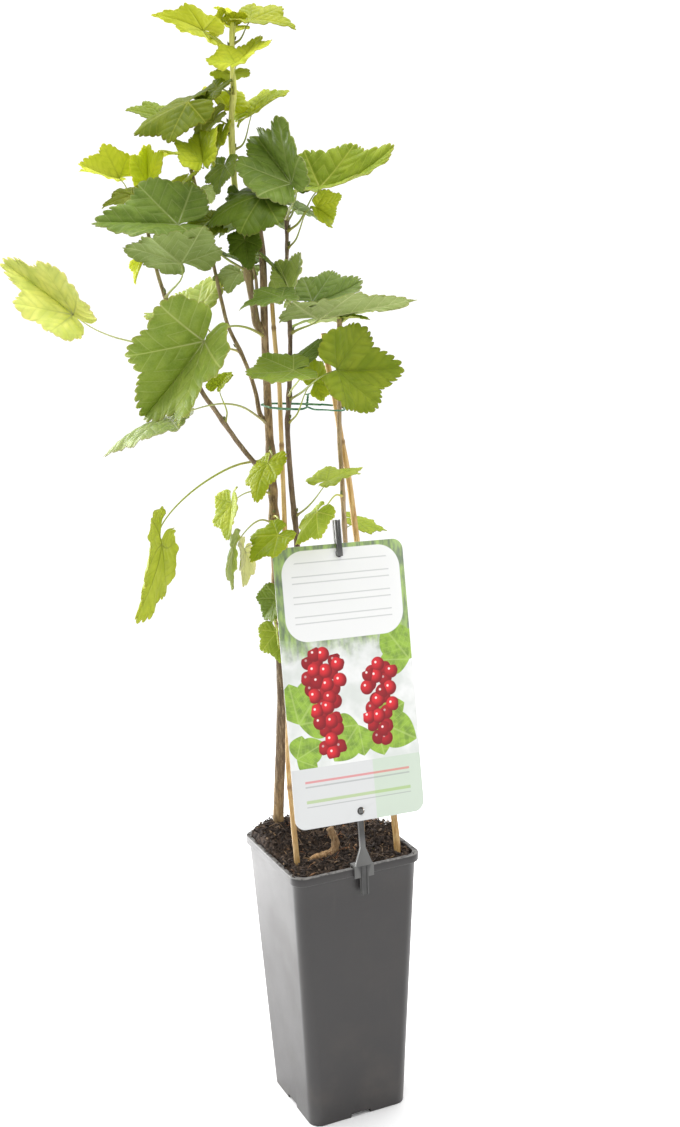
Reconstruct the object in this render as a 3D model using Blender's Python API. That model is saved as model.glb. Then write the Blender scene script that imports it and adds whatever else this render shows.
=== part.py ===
"""A red currant bush in a deep square nursery pot, in metres, standing on the plane z = 0.

The pot and its label keep to the X and Y axes. The bush has axes of its own, turned about the
pot's axis by PLANT_TURN: u runs along its wide side and v through it from front to back. Stems
and leaves are placed in millimetres along (u, v, z). Every leaf is one blade with its stalk, and
its foot sits on the stem that bears it.
"""

import math
from collections import namedtuple

import bmesh
import bpy
from mathutils import Matrix, Vector, noise

MM = 0.001
GAP = 0.35 * MM  # clearance left between two pieces that touch
PLANT_TURN = math.radians(-24.7)

# Pot
POT_HEIGHT = 230 * MM
RIM_SIDE = 114 * MM
RIM_LIP = 2.3 * MM
RIM_DEPTH = 7 * MM
FOOT_SIDE = 88 * MM
RIM_CORNER = 12 * MM
FOOT_CORNER = 9 * MM
INNER_CORNER = 7.4 * MM
WALL = 1.6 * MM
FLOOR = 5.5 * MM
CORNER_STEPS = 4
NOTCH_WIDTH = 18 * MM
NOTCH_HEIGHT = 3.5 * MM
FOOT_PAD = 14 * MM
DRAIN_RADIUS = 4.5 * MM
DRAIN_REACH = 28 * MM

# Soil
SOIL_LEVEL = 226 * MM
SOIL_MOUND = 13 * MM
MOUND_CENTRE = Vector((-30 * MM, 36 * MM))
MOUND_SPREAD = 20 * MM
SOIL_ROUGHNESS = 1.6 * MM
SOIL_WAVE = 14 * MM
SOIL_RINGS = (1.0, 0.86, 0.68, 0.48, 0.26)

# Label card, hung on its stake in front of the canes
CARD_WIDTH = 115 * MM
CARD_HEIGHT = 225 * MM
CARD_CORNER = 9 * MM
CARD_THICKNESS = 0.8 * MM
CARD_CENTRE = Vector((12.6 * MM, -21 * MM, 373.5 * MM))
CARD_LEAN = math.radians(12)
CARD_SLOPE = math.radians(2.1)
CARD_HOLE = 3.2 * MM
CARD_HOLE_INSET = 8 * MM
STAKE_WIDTH = 4.6 * MM
STAKE_THICKNESS = 2.4 * MM
PRONG_RISE = 19 * MM
STRIP_DROP = 1.5 * MM  # how far the stake's strip passes the card's lower edge
CLIP_WIDTH = 17 * MM
CLIP_HEIGHT = 8 * MM
CLIP_INNER = 1.8 * MM  # how far its inner edge reaches down inside the rim
CLIP_WALL = 2.2 * MM
TONGUE_WIDTH = 7 * MM
TONGUE_HEIGHT = 15 * MM
CLIP_X = 2.5 * MM
SHANK_KNEE = 0.6  # how far down its slanted shank starts to widen
SHANK_FOOT = 15 * MM

# Wire tie round the stems and canes
TIE_RADIUS = 0.6 * MM
TIE_TWIST = (2, 2.2, 1.6, 1)  # radii along its twist, as shares of the wire's

HOLE_SIDES = 16
STEM_SIDES = 8
STALK_SIDES = 6
STALK_STEPS = 6
STALK_RADIUS = 0.55  # in millimetres, on a leaf of no length
STALK_GROWTH = 0.006  # what a millimetre of leaf adds to it
STALK_TAPER = (1.25, 0.45)  # its thickness at the stem and at the blade, against the usual
STALK_LEAVES = (0.35, 0.2)  # how far it leads away from the stem and up along it, by its reach
STALK_ARRIVES = (0.28, 0.16)  # how far it comes from under the blade and off its back
STALK_SEAT = 0.85  # how deep it ends in the blade, as a share of the blade's thickness
BLADE_THICKNESS = 0.8 * MM
BLADE_RINGS = (0.5, 1.0)
# Half of a blade's outline: degrees from the midrib, and reach as a share of the blade's length.
BLADE_OUTLINE = (
    (0, 1.0),
    (17, 0.83),
    (32, 0.70),
    (45, 0.76),
    (58, 0.80),
    (74, 0.70),
    (90, 0.58),
    (118, 0.60),
    (150, 0.42),
)
BLADE_RIPPLE = 0.035
BLADE_WAVES = 5
PHASE_STEP = 1.7  # how far the ripple is turned from one leaf to the next

Finish = namedtuple("Finish", "colour roughness")
FINISHES = {
    "pot_plastic": Finish((0.075, 0.068, 0.064), 0.42),
    "peat": Finish((0.028, 0.018, 0.012), 0.95),
    "bark": Finish((0.150, 0.095, 0.060), 0.85),
    "young_bark": Finish((0.330, 0.200, 0.090), 0.70),
    "green_shoot": Finish((0.230, 0.260, 0.060), 0.55),
    "bamboo": Finish((0.560, 0.360, 0.130), 0.55),
    "dead_root": Finish((0.300, 0.180, 0.080), 0.80),
    "tie_coating": Finish((0.050, 0.330, 0.200), 0.45),
    "card": Finish((0.850, 0.860, 0.870), 0.35),
    "stake_plastic": Finish((0.045, 0.048, 0.052), 0.40),
    "young_leaf": Finish((0.420, 0.520, 0.030), 0.50),
    "grown_leaf": Finish((0.190, 0.320, 0.040), 0.50),
    "old_leaf": Finish((0.070, 0.160, 0.050), 0.50),
}

# A stem: its points (u, v, z) in millimetres from foot to tip, and its radius at both ends.
Stem = namedtuple("Stem", "points foot_radius tip_radius finish")
STEMS = {
    "main_stem": Stem(
        (
            (-44, 22, 180), (-44, 22, 240), (-40.2, 21, 297), (-36.6, 20, 349), (-36.4, 20, 401),
            (-37, 20, 452), (-37, 20, 502), (-37, 19, 543), (-38, 18, 576), (-38, 15, 616),
            (-38, 12, 655), (-37, 9, 694), (-37, 6, 713), (-38, 3, 727), (-40, 0, 746),
        ),
        4.8, 2.6, "bark",
    ),
    "leader": Stem(
        (
            (-43.5, 8.7, 660), (-45, 5.5, 672), (-47, 2, 687), (-49, 0, 708), (-50, 0, 721),
            (-53, 0, 738), (-55, 0, 755), (-56.2, 0, 784), (-55.8, 0, 813),
            (-53.2, 0, 833), (-53.4, 0, 852), (-52.8, 0, 870), (-51, 0, 884),
        ),
        3.0, 1.6, "green_shoot",
    ),
    "second_stem": Stem(
        (
            (-26, 14, 175), (-26, 14, 229), (-23, 14, 352), (-20, 14, 437), (-19, 14, 483),
            (-20, 14, 504), (-22, 13, 536), (-23, 12, 576), (-21, 12, 600), (-19, 11, 630),
            (-18, 10, 655), (-19, 10, 697), (-18, 10, 716), (-17, 10, 748),
        ),
        3.7, 1.3, "bark",
    ),
    "left_branch": Stem(
        (
            (-43.5, 14, 541), (-50, 8, 551), (-61, 2, 567), (-72, -2, 585), (-80, -4, 598),
            (-89, -5, 613), (-103, -6, 653), (-111, -6, 680), (-116, -5, 697), (-120, -4, 716),
            (-124, -3, 740), (-126, -2, 764),
        ),
        2.1, 1.3, "bark",
    ),
    "inner_branch": Stem(
        (
            (-44.5, 19, 588), (-47, 18, 604), (-51, 17, 620), (-57, 15, 637), (-66, 13, 658),
            (-70, 12, 676), (-74, 11, 699), (-76, 10, 711), (-80, 9, 730), (-84, 8, 752),
            (-86, 6, 766), (-90, 4, 786),
        ),
        1.7, 1.2, "young_bark",
    ),
    "thin_twig": Stem(
        ((-42.5, 0.9, 678), (-42.2, -3.6, 695), (-44.5, -6, 706), (-46, -8, 722), (-47, -9, 735)),
        1.3, 0.9, "young_bark",
    ),
    "right_stem": Stem(
        (
            (27, 6, 180), (27, 8, 227), (24, 16, 350), (20, 24, 488), (19, 24, 537),
            (18, 24, 568), (19, 24, 600), (20, 23, 631), (21, 22, 662),
        ),
        2.3, 1.8, "young_bark",
    ),
    "front_cane": Stem(
        (
            (-26, -45, 180), (-27, -41, 227), (-29.3, -36, 266), (-31.5, -28, 312),
            (-28.4, -11, 400), (-28, 1, 489), (-28, 5, 581), (-28, 6, 615), (-30, 6, 646),
            (-31, 6, 676),
        ),
        2.4, 1.7, "bamboo",
    ),
    "right_cane": Stem(
        (
            (55.5, -23, 180), (55, -20, 227), (53, -14, 258), (42, 8, 360), (29, 27, 488),
            (24, 31, 536), (19, 32, 568), (15, 32, 600), (11, 31, 622), (8, 30, 650),
        ),
        2.8, 2.3, "bamboo",
    ),
}
BURIED_STEMS = ("main_stem", "second_stem", "right_stem", "front_cane", "right_cane")

# The loop of the wire tie: points (u, v, z) once round the bundle of stems and canes.
TIE_LOOP = (
    (-44, 19, 596), (-41, 11.5, 596), (-33, 3, 595), (-24, 1.5, 594), (0, 9, 592),
    (14, 17, 590), (22, 21, 589), (23.5, 26, 590), (20, 34, 591), (13, 37, 592),
    (-5, 30, 594), (-30, 24, 596), (-40, 24.5, 596),
)
TIE_TAIL = ((-8, 6.5, 593), (-6.5, 4.5, 597), (-5, 6, 601), (-6, 8, 604))
ROOT_POINTS = (
    (0, -17, 250), (3.5, -17.5, 241), (4, -19, 234.5), (1, -21.5, 230.2), (-6, -25, 229.4),
    (-13, -28.5, 228.8), (-17, -31, 224.5),
)
ROOT_RADIUS = 3.0

# A leaf: the stem that bears it and the height of its foot there, where its stalk meets the
# blade (u, v, z), the way its midrib points (bearing from +u towards +v, rise above level),
# how far the blade is rolled about its midrib (positive lowers its left side) and how far
# each half is folded up from it, all in degrees; its length in millimetres, its breadth as
# a share of the usual, how far the midrib bends down at the tip, and the stalk's arch.
Leaf = namedtuple(
    "Leaf", "stem foot hub bearing rise roll fold length breadth bend arch finish"
)


def leaf(stem, foot, hub, bearing, rise, roll, fold, length, breadth=1.0, bend=10, arch=0,
         finish="grown_leaf"):
    """A Leaf with the usual breadth, bend and arch unless they are given."""
    return Leaf(stem, foot, hub, bearing, rise, roll, fold, length, breadth, bend, arch, finish)


YOUNG = {"finish": "young_leaf"}
OLD = {"finish": "old_leaf"}
LEAVES = {
    "top_left": leaf("leader", 863,
             (-72.9, -8, 876.7), 179, 31, -20, 10, 37, 1, 14, arch=3, **YOUNG),
    "top_right": leaf("leader", 868,
             (-38.8, 2.8, 884.1), -16, -4, -21, 14, 36, 0.99, 8, arch=-2, **YOUNG),
    "top_folded": leaf("leader", 832,
             (-48.9, -25.4, 850.4), 61, 20, 0, 23, 37, 0.88, -14, **YOUNG),
    "top_small": leaf("leader", 823, (-59.3, 12.8, 824.8), 131, 41, -3, 19, 29, 1, 11, **YOUNG),
    "high_right": leaf("leader", 792,
             (-41.5, 8.4, 817), -2, 32, -18, 13, 37, 1.06, 2, arch=-4, **YOUNG),
    "high_left_edge": leaf("inner_branch", 782,
             (-109.5, 16.6, 818), -175, 14, 23, 13, 29, 0.99, 0, arch=-1, **YOUNG),
    "high_left": leaf("inner_branch", 779,
             (-85.8, -21.6, 825.2), -176, -18, 29, -15, 43, 1.07, 9, arch=-2),
    "outer_yellow": leaf("left_branch", 747,
             (-143.4, 3.8, 773.7), -125, 7, -35, 46, 39, 0.84, -10, **YOUNG),
    "inner_yellow": leaf("left_branch", 761,
             (-121.3, 1.3, 768.5), 93, 51, 3, 46, 35, 0.69, -8, arch=-1, **YOUNG),
    "round_left": leaf("inner_branch", 786,
             (-75.6, -37.5, 781.5), 98, 39, 19, 40, 33, 0.9, -5, arch=-1, **YOUNG),
    "dark_right": leaf("second_stem", 740,
             (-11.7, -28.9, 764.5), 114, 31, 49, 46, 62, 0.81, -14, arch=1, **OLD),
    "behind_right": leaf("second_stem", 738,
             (-8.9, 22.3, 765), 70, 40, 2, 16, 38, 0.99, 13, **OLD),
    "big_right": leaf("second_stem", 731,
             (8.8, -0.3, 761.8), 1, 1, -35, 34, 57, 0.84, -29, arch=-3),
    "yellow_right": leaf("second_stem", 718,
             (5.6, -6.4, 747), 43, -26, -88, 46, 24, 1.16, 6, arch=-2, **YOUNG),
    "centre_dark": leaf("main_stem", 739,
             (-33.2, -37.2, 756.7), -178, -9, 32, -15, 44, 1.13, 16, arch=-1, **OLD),
    "left_dark": leaf("leader", 703,
             (-97.2, -29.2, 737.5), -174, 4, 44, 32, 62, 0.82, 2, arch=2, **OLD),
    "left_behind": leaf("inner_branch", 757,
             (-90.3, -0.2, 747.5), 135, 16, 32, 46, 38, 0.83, -23, arch=-3, **OLD),
    "underside_left": leaf("left_branch", 684,
             (-96, -33.5, 709.5), -112, 22, -10, 15, 54, 0.97, -4, arch=-3),
    "hanging_yellow": leaf("left_branch", 719,
             (-125.9, -8.2, 713.3), -154, -53, -3, 24, 21, 0.98, 12, **YOUNG),
    "far_left": leaf("left_branch", 646,
             (-184.1, -3.4, 672.6), 134, 26, 62, 46, 65, 0.67, -21, arch=-3, **YOUNG),
    "behind_left": leaf("inner_branch", 640,
             (-92, 24.2, 669.4), 117, 1, 29, 23, 51, 0.99, -12, arch=-3),
    "big_left": leaf("main_stem", 652, (-81.3, -38.3, 651.6), 143, -46, 99, 46, 77, 0.98, -10),
    "edge_left": leaf("main_stem", 583,
             (-113.9, -24.5, 593.9), -180, -13, 2, -9, 56, 0.94, 17, arch=13),
    "tiny_left": leaf("left_branch", 586, (-74, -10, 615), 48, 45, 0, 20, 18, 1, 10, **YOUNG),
    "long_tip": leaf("second_stem", 664,
             (-16.3, -3.5, 683.9), 5, 62, -27, 29, 34, 0.99, -13, arch=-2, **OLD),
    "over_stem": leaf("second_stem", 674,
             (-22.1, -38.1, 682.1), -169, 0, 16, 12, 33, 0.8, 13, arch=-4, **OLD),
    "scalloped": leaf("second_stem", 683, (0.2, 6.3, 676), 49, 1, -44, 46, 48, 0.68, -22, arch=-1),
    "underside_right": leaf("second_stem", 653, (5, 6.1, 662.8), -8, 10, 15, 10, 71, 0.86, 0),
    "bright_right": leaf("second_stem", 601,
             (17.7, -34, 626.5), 64, -9, -77, 17, 63, 0.83, -25, arch=-3, **YOUNG),
    "middle_dark": leaf("second_stem", 619,
             (-15.4, -7.2, 631.1), 9, 32, -12, -5, 30, 0.9, -7, arch=-2, **OLD),
    "middle_yellow": leaf("second_stem", 583,
             (-0.4, -7.2, 615.4), 54, 31, -77, 7, 26, 0.97, 13, **YOUNG),
    "middle_left": leaf("second_stem", 604,
             (-15.4, -32.2, 627.3), -165, -5, 21, 10, 39, 0.99, -3, arch=1),
    "low_over_stem": leaf("main_stem", 559,
             (-38.4, -14, 554.1), -127, -39, -13, -3, 31, 1, 15, **YOUNG),
    "hanging": leaf("main_stem", 552,
             (-125.2, -7.8, 490.2), -91, -66, 81, 1, 62, 0.86, 20, arch=-14, **YOUNG),
    "low_pale": leaf("main_stem", 525,
             (-68.4, -8.6, 522.4), -103, -69, -47, 17, 31, 1, -5, arch=-1, **YOUNG),
    "low_round": leaf("main_stem", 506, (-32.9, -15.2, 496.8), -161, -32, 19, 5, 31, 0.99, 7),
    "low_edge": leaf("main_stem", 501,
             (-69.6, -15.2, 487.5), 163, -79, 12, -1, 37, 0.97, 9, arch=1),
    "low_behind": leaf("main_stem", 482,
             (-60.3, 9.4, 478.7), -65, -68, 51, 3, 28, 1.01, 19, **YOUNG),
    "label_upper": leaf("main_stem", 452,
             (-37.2, 1.2, 441.7), 146, -54, 75, 24, 25, 0.9, -1, arch=1),
    "label_lower": leaf("main_stem", 420,
             (-37.4, -2.1, 414.2), -76, -68, -70, 33, 26, 1.06, 10, arch=-1),
    "low_flat": leaf("second_stem", 507, (7.1, -1.5, 536.3), 33, 15, 0, 10, 34, 0.95, 3, **YOUNG),
    "low_folded": leaf("right_stem", 520, (-1.7, -4.9, 512.3), -157, -40, 5, -15, 31, 0.98, 13),
    "low_far_right": leaf("right_stem", 495,
             (28.8, 54.7, 492.9), 0, -24, -7, 1, 30, 0.92, -8, arch=-8, **YOUNG),
    "dark_behind": leaf("leader", 698,
             (-54.4, 14.5, 708.3), 132, 20, -3, 20, 30, 1.02, 11, arch=2, **OLD),
    "olive_left": leaf("inner_branch", 735,
             (-71.7, -13.3, 738.7), -137, 2, 45, 7, 22, 0.92, 12, arch=4),
}


def clear_scene():
    """Remove whatever the startup scene holds."""
    for obj in list(bpy.data.objects):
        bpy.data.objects.remove(obj, do_unlink=True)


def material(finish):
    """The material of a finish, made on first use."""
    found = bpy.data.materials.get(finish)
    if found:
        return found
    made = bpy.data.materials.new(finish)
    made.use_nodes = True
    shader = made.node_tree.nodes["Principled BSDF"]
    shader.inputs["Base Color"].default_value = (*FINISHES[finish].colour, 1)
    shader.inputs["Roughness"].default_value = FINISHES[finish].roughness
    shader.inputs["Metallic"].default_value = 0
    made.diffuse_color = (*FINISHES[finish].colour, 1)
    return made


def add_object(name, bm, finish=None, smooth=False, cutter=False):
    """Turn a bmesh into an object: a piece with a finish, or a hidden cutter."""
    bmesh.ops.recalc_face_normals(bm, faces=bm.faces)
    mesh = bpy.data.meshes.new(name)
    bm.to_mesh(mesh)
    bm.free()
    obj = bpy.data.objects.new(name, mesh)
    bpy.context.scene.collection.objects.link(obj)
    if finish:
        mesh.materials.append(material(finish))
    if smooth:
        mesh.shade_smooth()
    if cutter:
        obj.hide_render = True
        obj.display_type = "WIRE"
    return obj


def boolean(obj, other, operation):
    """Cut the other object out of this one, or join it on."""
    modifier = obj.modifiers.new(f"{operation.title()} {other.name}", "BOOLEAN")
    modifier.operation = operation
    modifier.solver = "EXACT"
    modifier.object = other


def plant_point(u, v, z):
    """A point of the bush's own axes, in millimetres, as a place in the scene."""
    cosine, sine = math.cos(PLANT_TURN), math.sin(PLANT_TURN)
    return Vector((u * cosine - v * sine, u * sine + v * cosine, z)) * MM


def plant_direction(bearing, rise):
    """The unit vector of a bearing and a rise in the bush's own axes."""
    level = math.cos(rise)
    across, through = level * math.cos(bearing), level * math.sin(bearing)
    return plant_point(across, through, math.sin(rise)).normalized()


def sweep(bm, points, radii, sides, first=None, last=None):
    """Add a closed tube along the points; first and last may turn its end rings.

    Each ring faces the mean of the two spans that meet at its point.
    """
    count = len(points)
    spans = [(points[i + 1] - points[i]).normalized() for i in range(count - 1)]
    facing = [spans[0]] + [(spans[i - 1] + spans[i]).normalized() for i in range(1, count - 1)]
    facing.append(spans[-1])
    facing[0] = first or facing[0]
    facing[-1] = last or facing[-1]
    turn = Vector((0, 0, 1)).rotation_difference(facing[0])
    ring = None
    for i, (point, radius) in enumerate(zip(points, radii)):
        if i:
            turn = facing[i - 1].rotation_difference(facing[i]) @ turn
        place = Matrix.Translation(point) @ turn.to_matrix().to_4x4()
        made = bmesh.ops.create_circle(bm, segments=sides, radius=radius, matrix=place)["verts"]
        if ring is None:
            bm.faces.new(reversed(made))
        else:
            for k in range(sides):
                n = (k + 1) % sides
                bm.faces.new((ring[k], ring[n], made[n], made[k]))
        ring = made
    bm.faces.new(ring)


class StemPath:
    """A stem's centre line, for finding the place where a leaf's foot sits."""

    def __init__(self, stem):
        self.points = [plant_point(*point) for point in stem.points]
        lengths = [0]
        for start, end in zip(self.points, self.points[1:]):
            lengths.append(lengths[-1] + (end - start).length)
        self.shares = [length / lengths[-1] for length in lengths]
        self.stem = stem
        self.radii = [self.radius_at(share) for share in self.shares]

    def radius_at(self, share):
        """The radius at a share of the length, thinning evenly from the foot."""
        return (self.stem.foot_radius * (1 - share) + self.stem.tip_radius * share) * MM

    def at_height(self, height):
        """The centre, direction and radius where the stem passes a height."""
        for i, (start, end) in enumerate(zip(self.points, self.points[1:])):
            if start.z <= height <= end.z:
                along = (height - start.z) / (end.z - start.z)
                share = self.shares[i] * (1 - along) + self.shares[i + 1] * along
                return start.lerp(end, along), (end - start).normalized(), self.radius_at(share)
        raise ValueError(f"the stem doesn't pass {height}")


def make_stem(name):
    """Make a stem, cane or branch as one tapered tube."""
    path = StemPath(STEMS[name])
    bm = bmesh.new()
    sweep(bm, path.points, path.radii, STEM_SIDES)
    add_object(name, bm, STEMS[name].finish, smooth=True)
    return path


def stem_socket(name, path):
    """The hidden cutter that clears a buried stem out of the soil."""
    bm = bmesh.new()
    points = list(path.points)
    points[0] = points[0] + (points[0] - points[1]).normalized() * GAP
    sweep(bm, points, [radius + GAP for radius in path.radii], STEM_SIDES)
    return add_object(f"{name}_socket", bm, cutter=True)


def square_ring(bm, side, corner, height):
    """Add a ring of vertices round a square with rounded corners."""
    straight = side / 2 - corner
    ring = []
    for quarter in range(4):
        middle = Vector((straight, straight, height))
        for step in range(CORNER_STEPS + 1):
            angle = math.radians(90) * step / CORNER_STEPS
            point = middle + corner * Vector((math.cos(angle), math.sin(angle), 0))
            point.rotate(Matrix.Rotation(math.radians(90) * quarter, 3, "Z"))
            ring.append(bm.verts.new(point))
    return ring


def bridge(bm, lower, upper):
    """Join two rings of the same count with a band of faces."""
    count = len(lower)
    for k in range(count):
        n = (k + 1) % count
        bm.faces.new((lower[k], lower[n], upper[n], upper[k]))


def box(bm, low, high):
    """Add a box between two corners."""
    low, high = Vector(low), Vector(high)
    place = Matrix.Translation((low + high) / 2) @ Matrix.Diagonal((*(high - low), 1))
    return bmesh.ops.create_cube(bm, size=1, matrix=place)["verts"]


def body_side(height):
    """The pot's outer side below its lip at a height."""
    under_lip = RIM_SIDE - 2 * RIM_LIP
    return FOOT_SIDE + (under_lip - FOOT_SIDE) * height / (POT_HEIGHT - RIM_DEPTH)


def inner_side(height):
    """The side of the pot's inside at a height, tapering evenly from its floor to its rim."""
    low = body_side(FLOOR) - 2 * WALL
    high = body_side(POT_HEIGHT - RIM_DEPTH) - 2 * WALL
    return low + (high - low) * (height - FLOOR) / (POT_HEIGHT - FLOOR)


def body_corner(height):
    """The radius of the pot's upright corners at a height."""
    return FOOT_CORNER + (RIM_CORNER - FOOT_CORNER) * height / POT_HEIGHT


def make_pot():
    """Make the pot: a tapered square shell with a lip, feet, notches and drain holes."""
    bm = bmesh.new()
    lip_foot = POT_HEIGHT - RIM_DEPTH
    outside = [
        square_ring(bm, body_side(0), body_corner(0), 0),
        square_ring(bm, body_side(lip_foot), body_corner(lip_foot), lip_foot),
        square_ring(bm, RIM_SIDE, RIM_CORNER, lip_foot),
        square_ring(bm, RIM_SIDE, RIM_CORNER, POT_HEIGHT),
    ]
    inside = [
        square_ring(bm, inner_side(POT_HEIGHT), INNER_CORNER, POT_HEIGHT),
        square_ring(bm, inner_side(FLOOR), INNER_CORNER, FLOOR),
    ]
    rings = outside + inside
    bm.faces.new(reversed(rings[0]))
    for lower, upper in zip(rings, rings[1:]):
        bridge(bm, lower, upper)
    bm.faces.new(rings[-1])
    pot = add_object("pot", bm, "pot_plastic")
    cuts = bmesh.new()
    for quarter in range(4):
        turn = Matrix.Rotation(math.radians(90) * quarter, 3, "Z")
        groove = box(cuts, (FOOT_PAD, -NOTCH_WIDTH / 2, -GAP),
                     (FOOT_SIDE, NOTCH_WIDTH / 2, NOTCH_HEIGHT))
        bmesh.ops.rotate(cuts, verts=groove, matrix=turn)
    boolean(pot, add_object("foot_grooves", cuts, cutter=True), "DIFFERENCE")
    drains = bmesh.new()
    for quarter in range(4):
        reach = Matrix.Rotation(math.radians(90) * quarter, 4, "Z") @ Matrix.Translation(
            (DRAIN_REACH, 0, FLOOR / 2)
        )
        bmesh.ops.create_cone(drains, cap_ends=True, segments=HOLE_SIDES, radius1=DRAIN_RADIUS,
                              radius2=DRAIN_RADIUS, depth=2 * FLOOR, matrix=reach)
    boolean(pot, add_object("drain_holes", drains, cutter=True), "DIFFERENCE")


def soil_height(x, y):
    """The height of the soil: level, rough, and heaped round the main stem."""
    off = (Vector((x, y)) - MOUND_CENTRE).length / MOUND_SPREAD
    rough = noise.noise(Vector((x, y, 0)) / SOIL_WAVE) * SOIL_ROUGHNESS
    return SOIL_LEVEL + SOIL_MOUND * math.exp(-off * off / 2) + rough


def make_soil(sockets):
    """Make the block of soil that fills the pot, with a socket for each buried stem."""
    bm = bmesh.new()
    foot_height = FLOOR + GAP
    foot = square_ring(bm, inner_side(foot_height) - 2 * GAP, INNER_CORNER, foot_height)
    bm.faces.new(reversed(foot))
    lower = foot
    top_side = inner_side(SOIL_LEVEL) - 2 * GAP
    for share in SOIL_RINGS:
        ring = square_ring(bm, top_side * share, INNER_CORNER * share, SOIL_LEVEL)
        for vert in ring:
            vert.co.z = soil_height(vert.co.x, vert.co.y)
        bridge(bm, lower, ring)
        lower = ring
    middle = bm.verts.new((0, 0, soil_height(0, 0)))
    for k, vert in enumerate(lower):
        bm.faces.new((vert, lower[(k + 1) % len(lower)], middle))
    soil = add_object("soil", bm, "peat")
    for socket in sockets:
        boolean(soil, socket, "DIFFERENCE")


def make_root():
    """Make the stub of dead root that lies bent on the soil, and its socket."""
    points = [plant_point(*point) for point in ROOT_POINTS]
    bm = bmesh.new()
    sweep(bm, points, [ROOT_RADIUS * MM] * len(points), STEM_SIDES)
    add_object("root_stub", bm, "dead_root", smooth=True)
    socket = bmesh.new()
    points[-1] = points[-1] + (points[-1] - points[-2]).normalized() * GAP
    sweep(socket, points, [ROOT_RADIUS * MM + GAP] * len(points), STEM_SIDES)
    return add_object("root_stub_socket", socket, cutter=True)


def card_place():
    """The card's place: its face towards -Y, sloped and leaning back."""
    lean = Matrix.Rotation(-CARD_LEAN, 4, "X")
    slope = Matrix.Rotation(CARD_SLOPE, 4, "Y")
    return Matrix.Translation(CARD_CENTRE) @ lean @ slope


def make_card():
    """Make the label card: a thin plate with rounded corners and two holes."""
    bm = bmesh.new()
    corners = []
    for quarter, (sign_x, sign_z) in enumerate(((1, 1), (-1, 1), (-1, -1), (1, -1))):
        middle = Vector((sign_x * (CARD_WIDTH / 2 - CARD_CORNER), 0,
                         sign_z * (CARD_HEIGHT / 2 - CARD_CORNER)))
        for step in range(CORNER_STEPS + 1):
            angle = math.radians(90) * (quarter + step / CORNER_STEPS)
            reach = Vector((math.cos(angle), 0, math.sin(angle))) * CARD_CORNER
            corners.append(bm.verts.new(middle + reach))
    face = bm.faces.new(corners)
    grown = bmesh.ops.extrude_face_region(bm, geom=[face])["geom"]
    verts = [item for item in grown if isinstance(item, bmesh.types.BMVert)]
    bmesh.ops.translate(bm, verts=verts, vec=(0, CARD_THICKNESS, 0))
    card = add_object("label_card", bm, "card")
    card.matrix_world = card_place()
    holes = bmesh.new()
    for sign in (1, -1):
        place = Matrix.Translation((0, 0, sign * (CARD_HEIGHT / 2 - CARD_HOLE_INSET)))
        bmesh.ops.create_cone(holes, cap_ends=True, segments=HOLE_SIDES, radius1=CARD_HOLE,
                              radius2=CARD_HOLE, depth=10 * CARD_THICKNESS,
                              matrix=place @ Matrix.Rotation(math.radians(90), 4, "X"))
    cutter = add_object("card_holes", holes, cutter=True)
    cutter.matrix_world = card_place()
    boolean(card, cutter, "DIFFERENCE")


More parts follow.
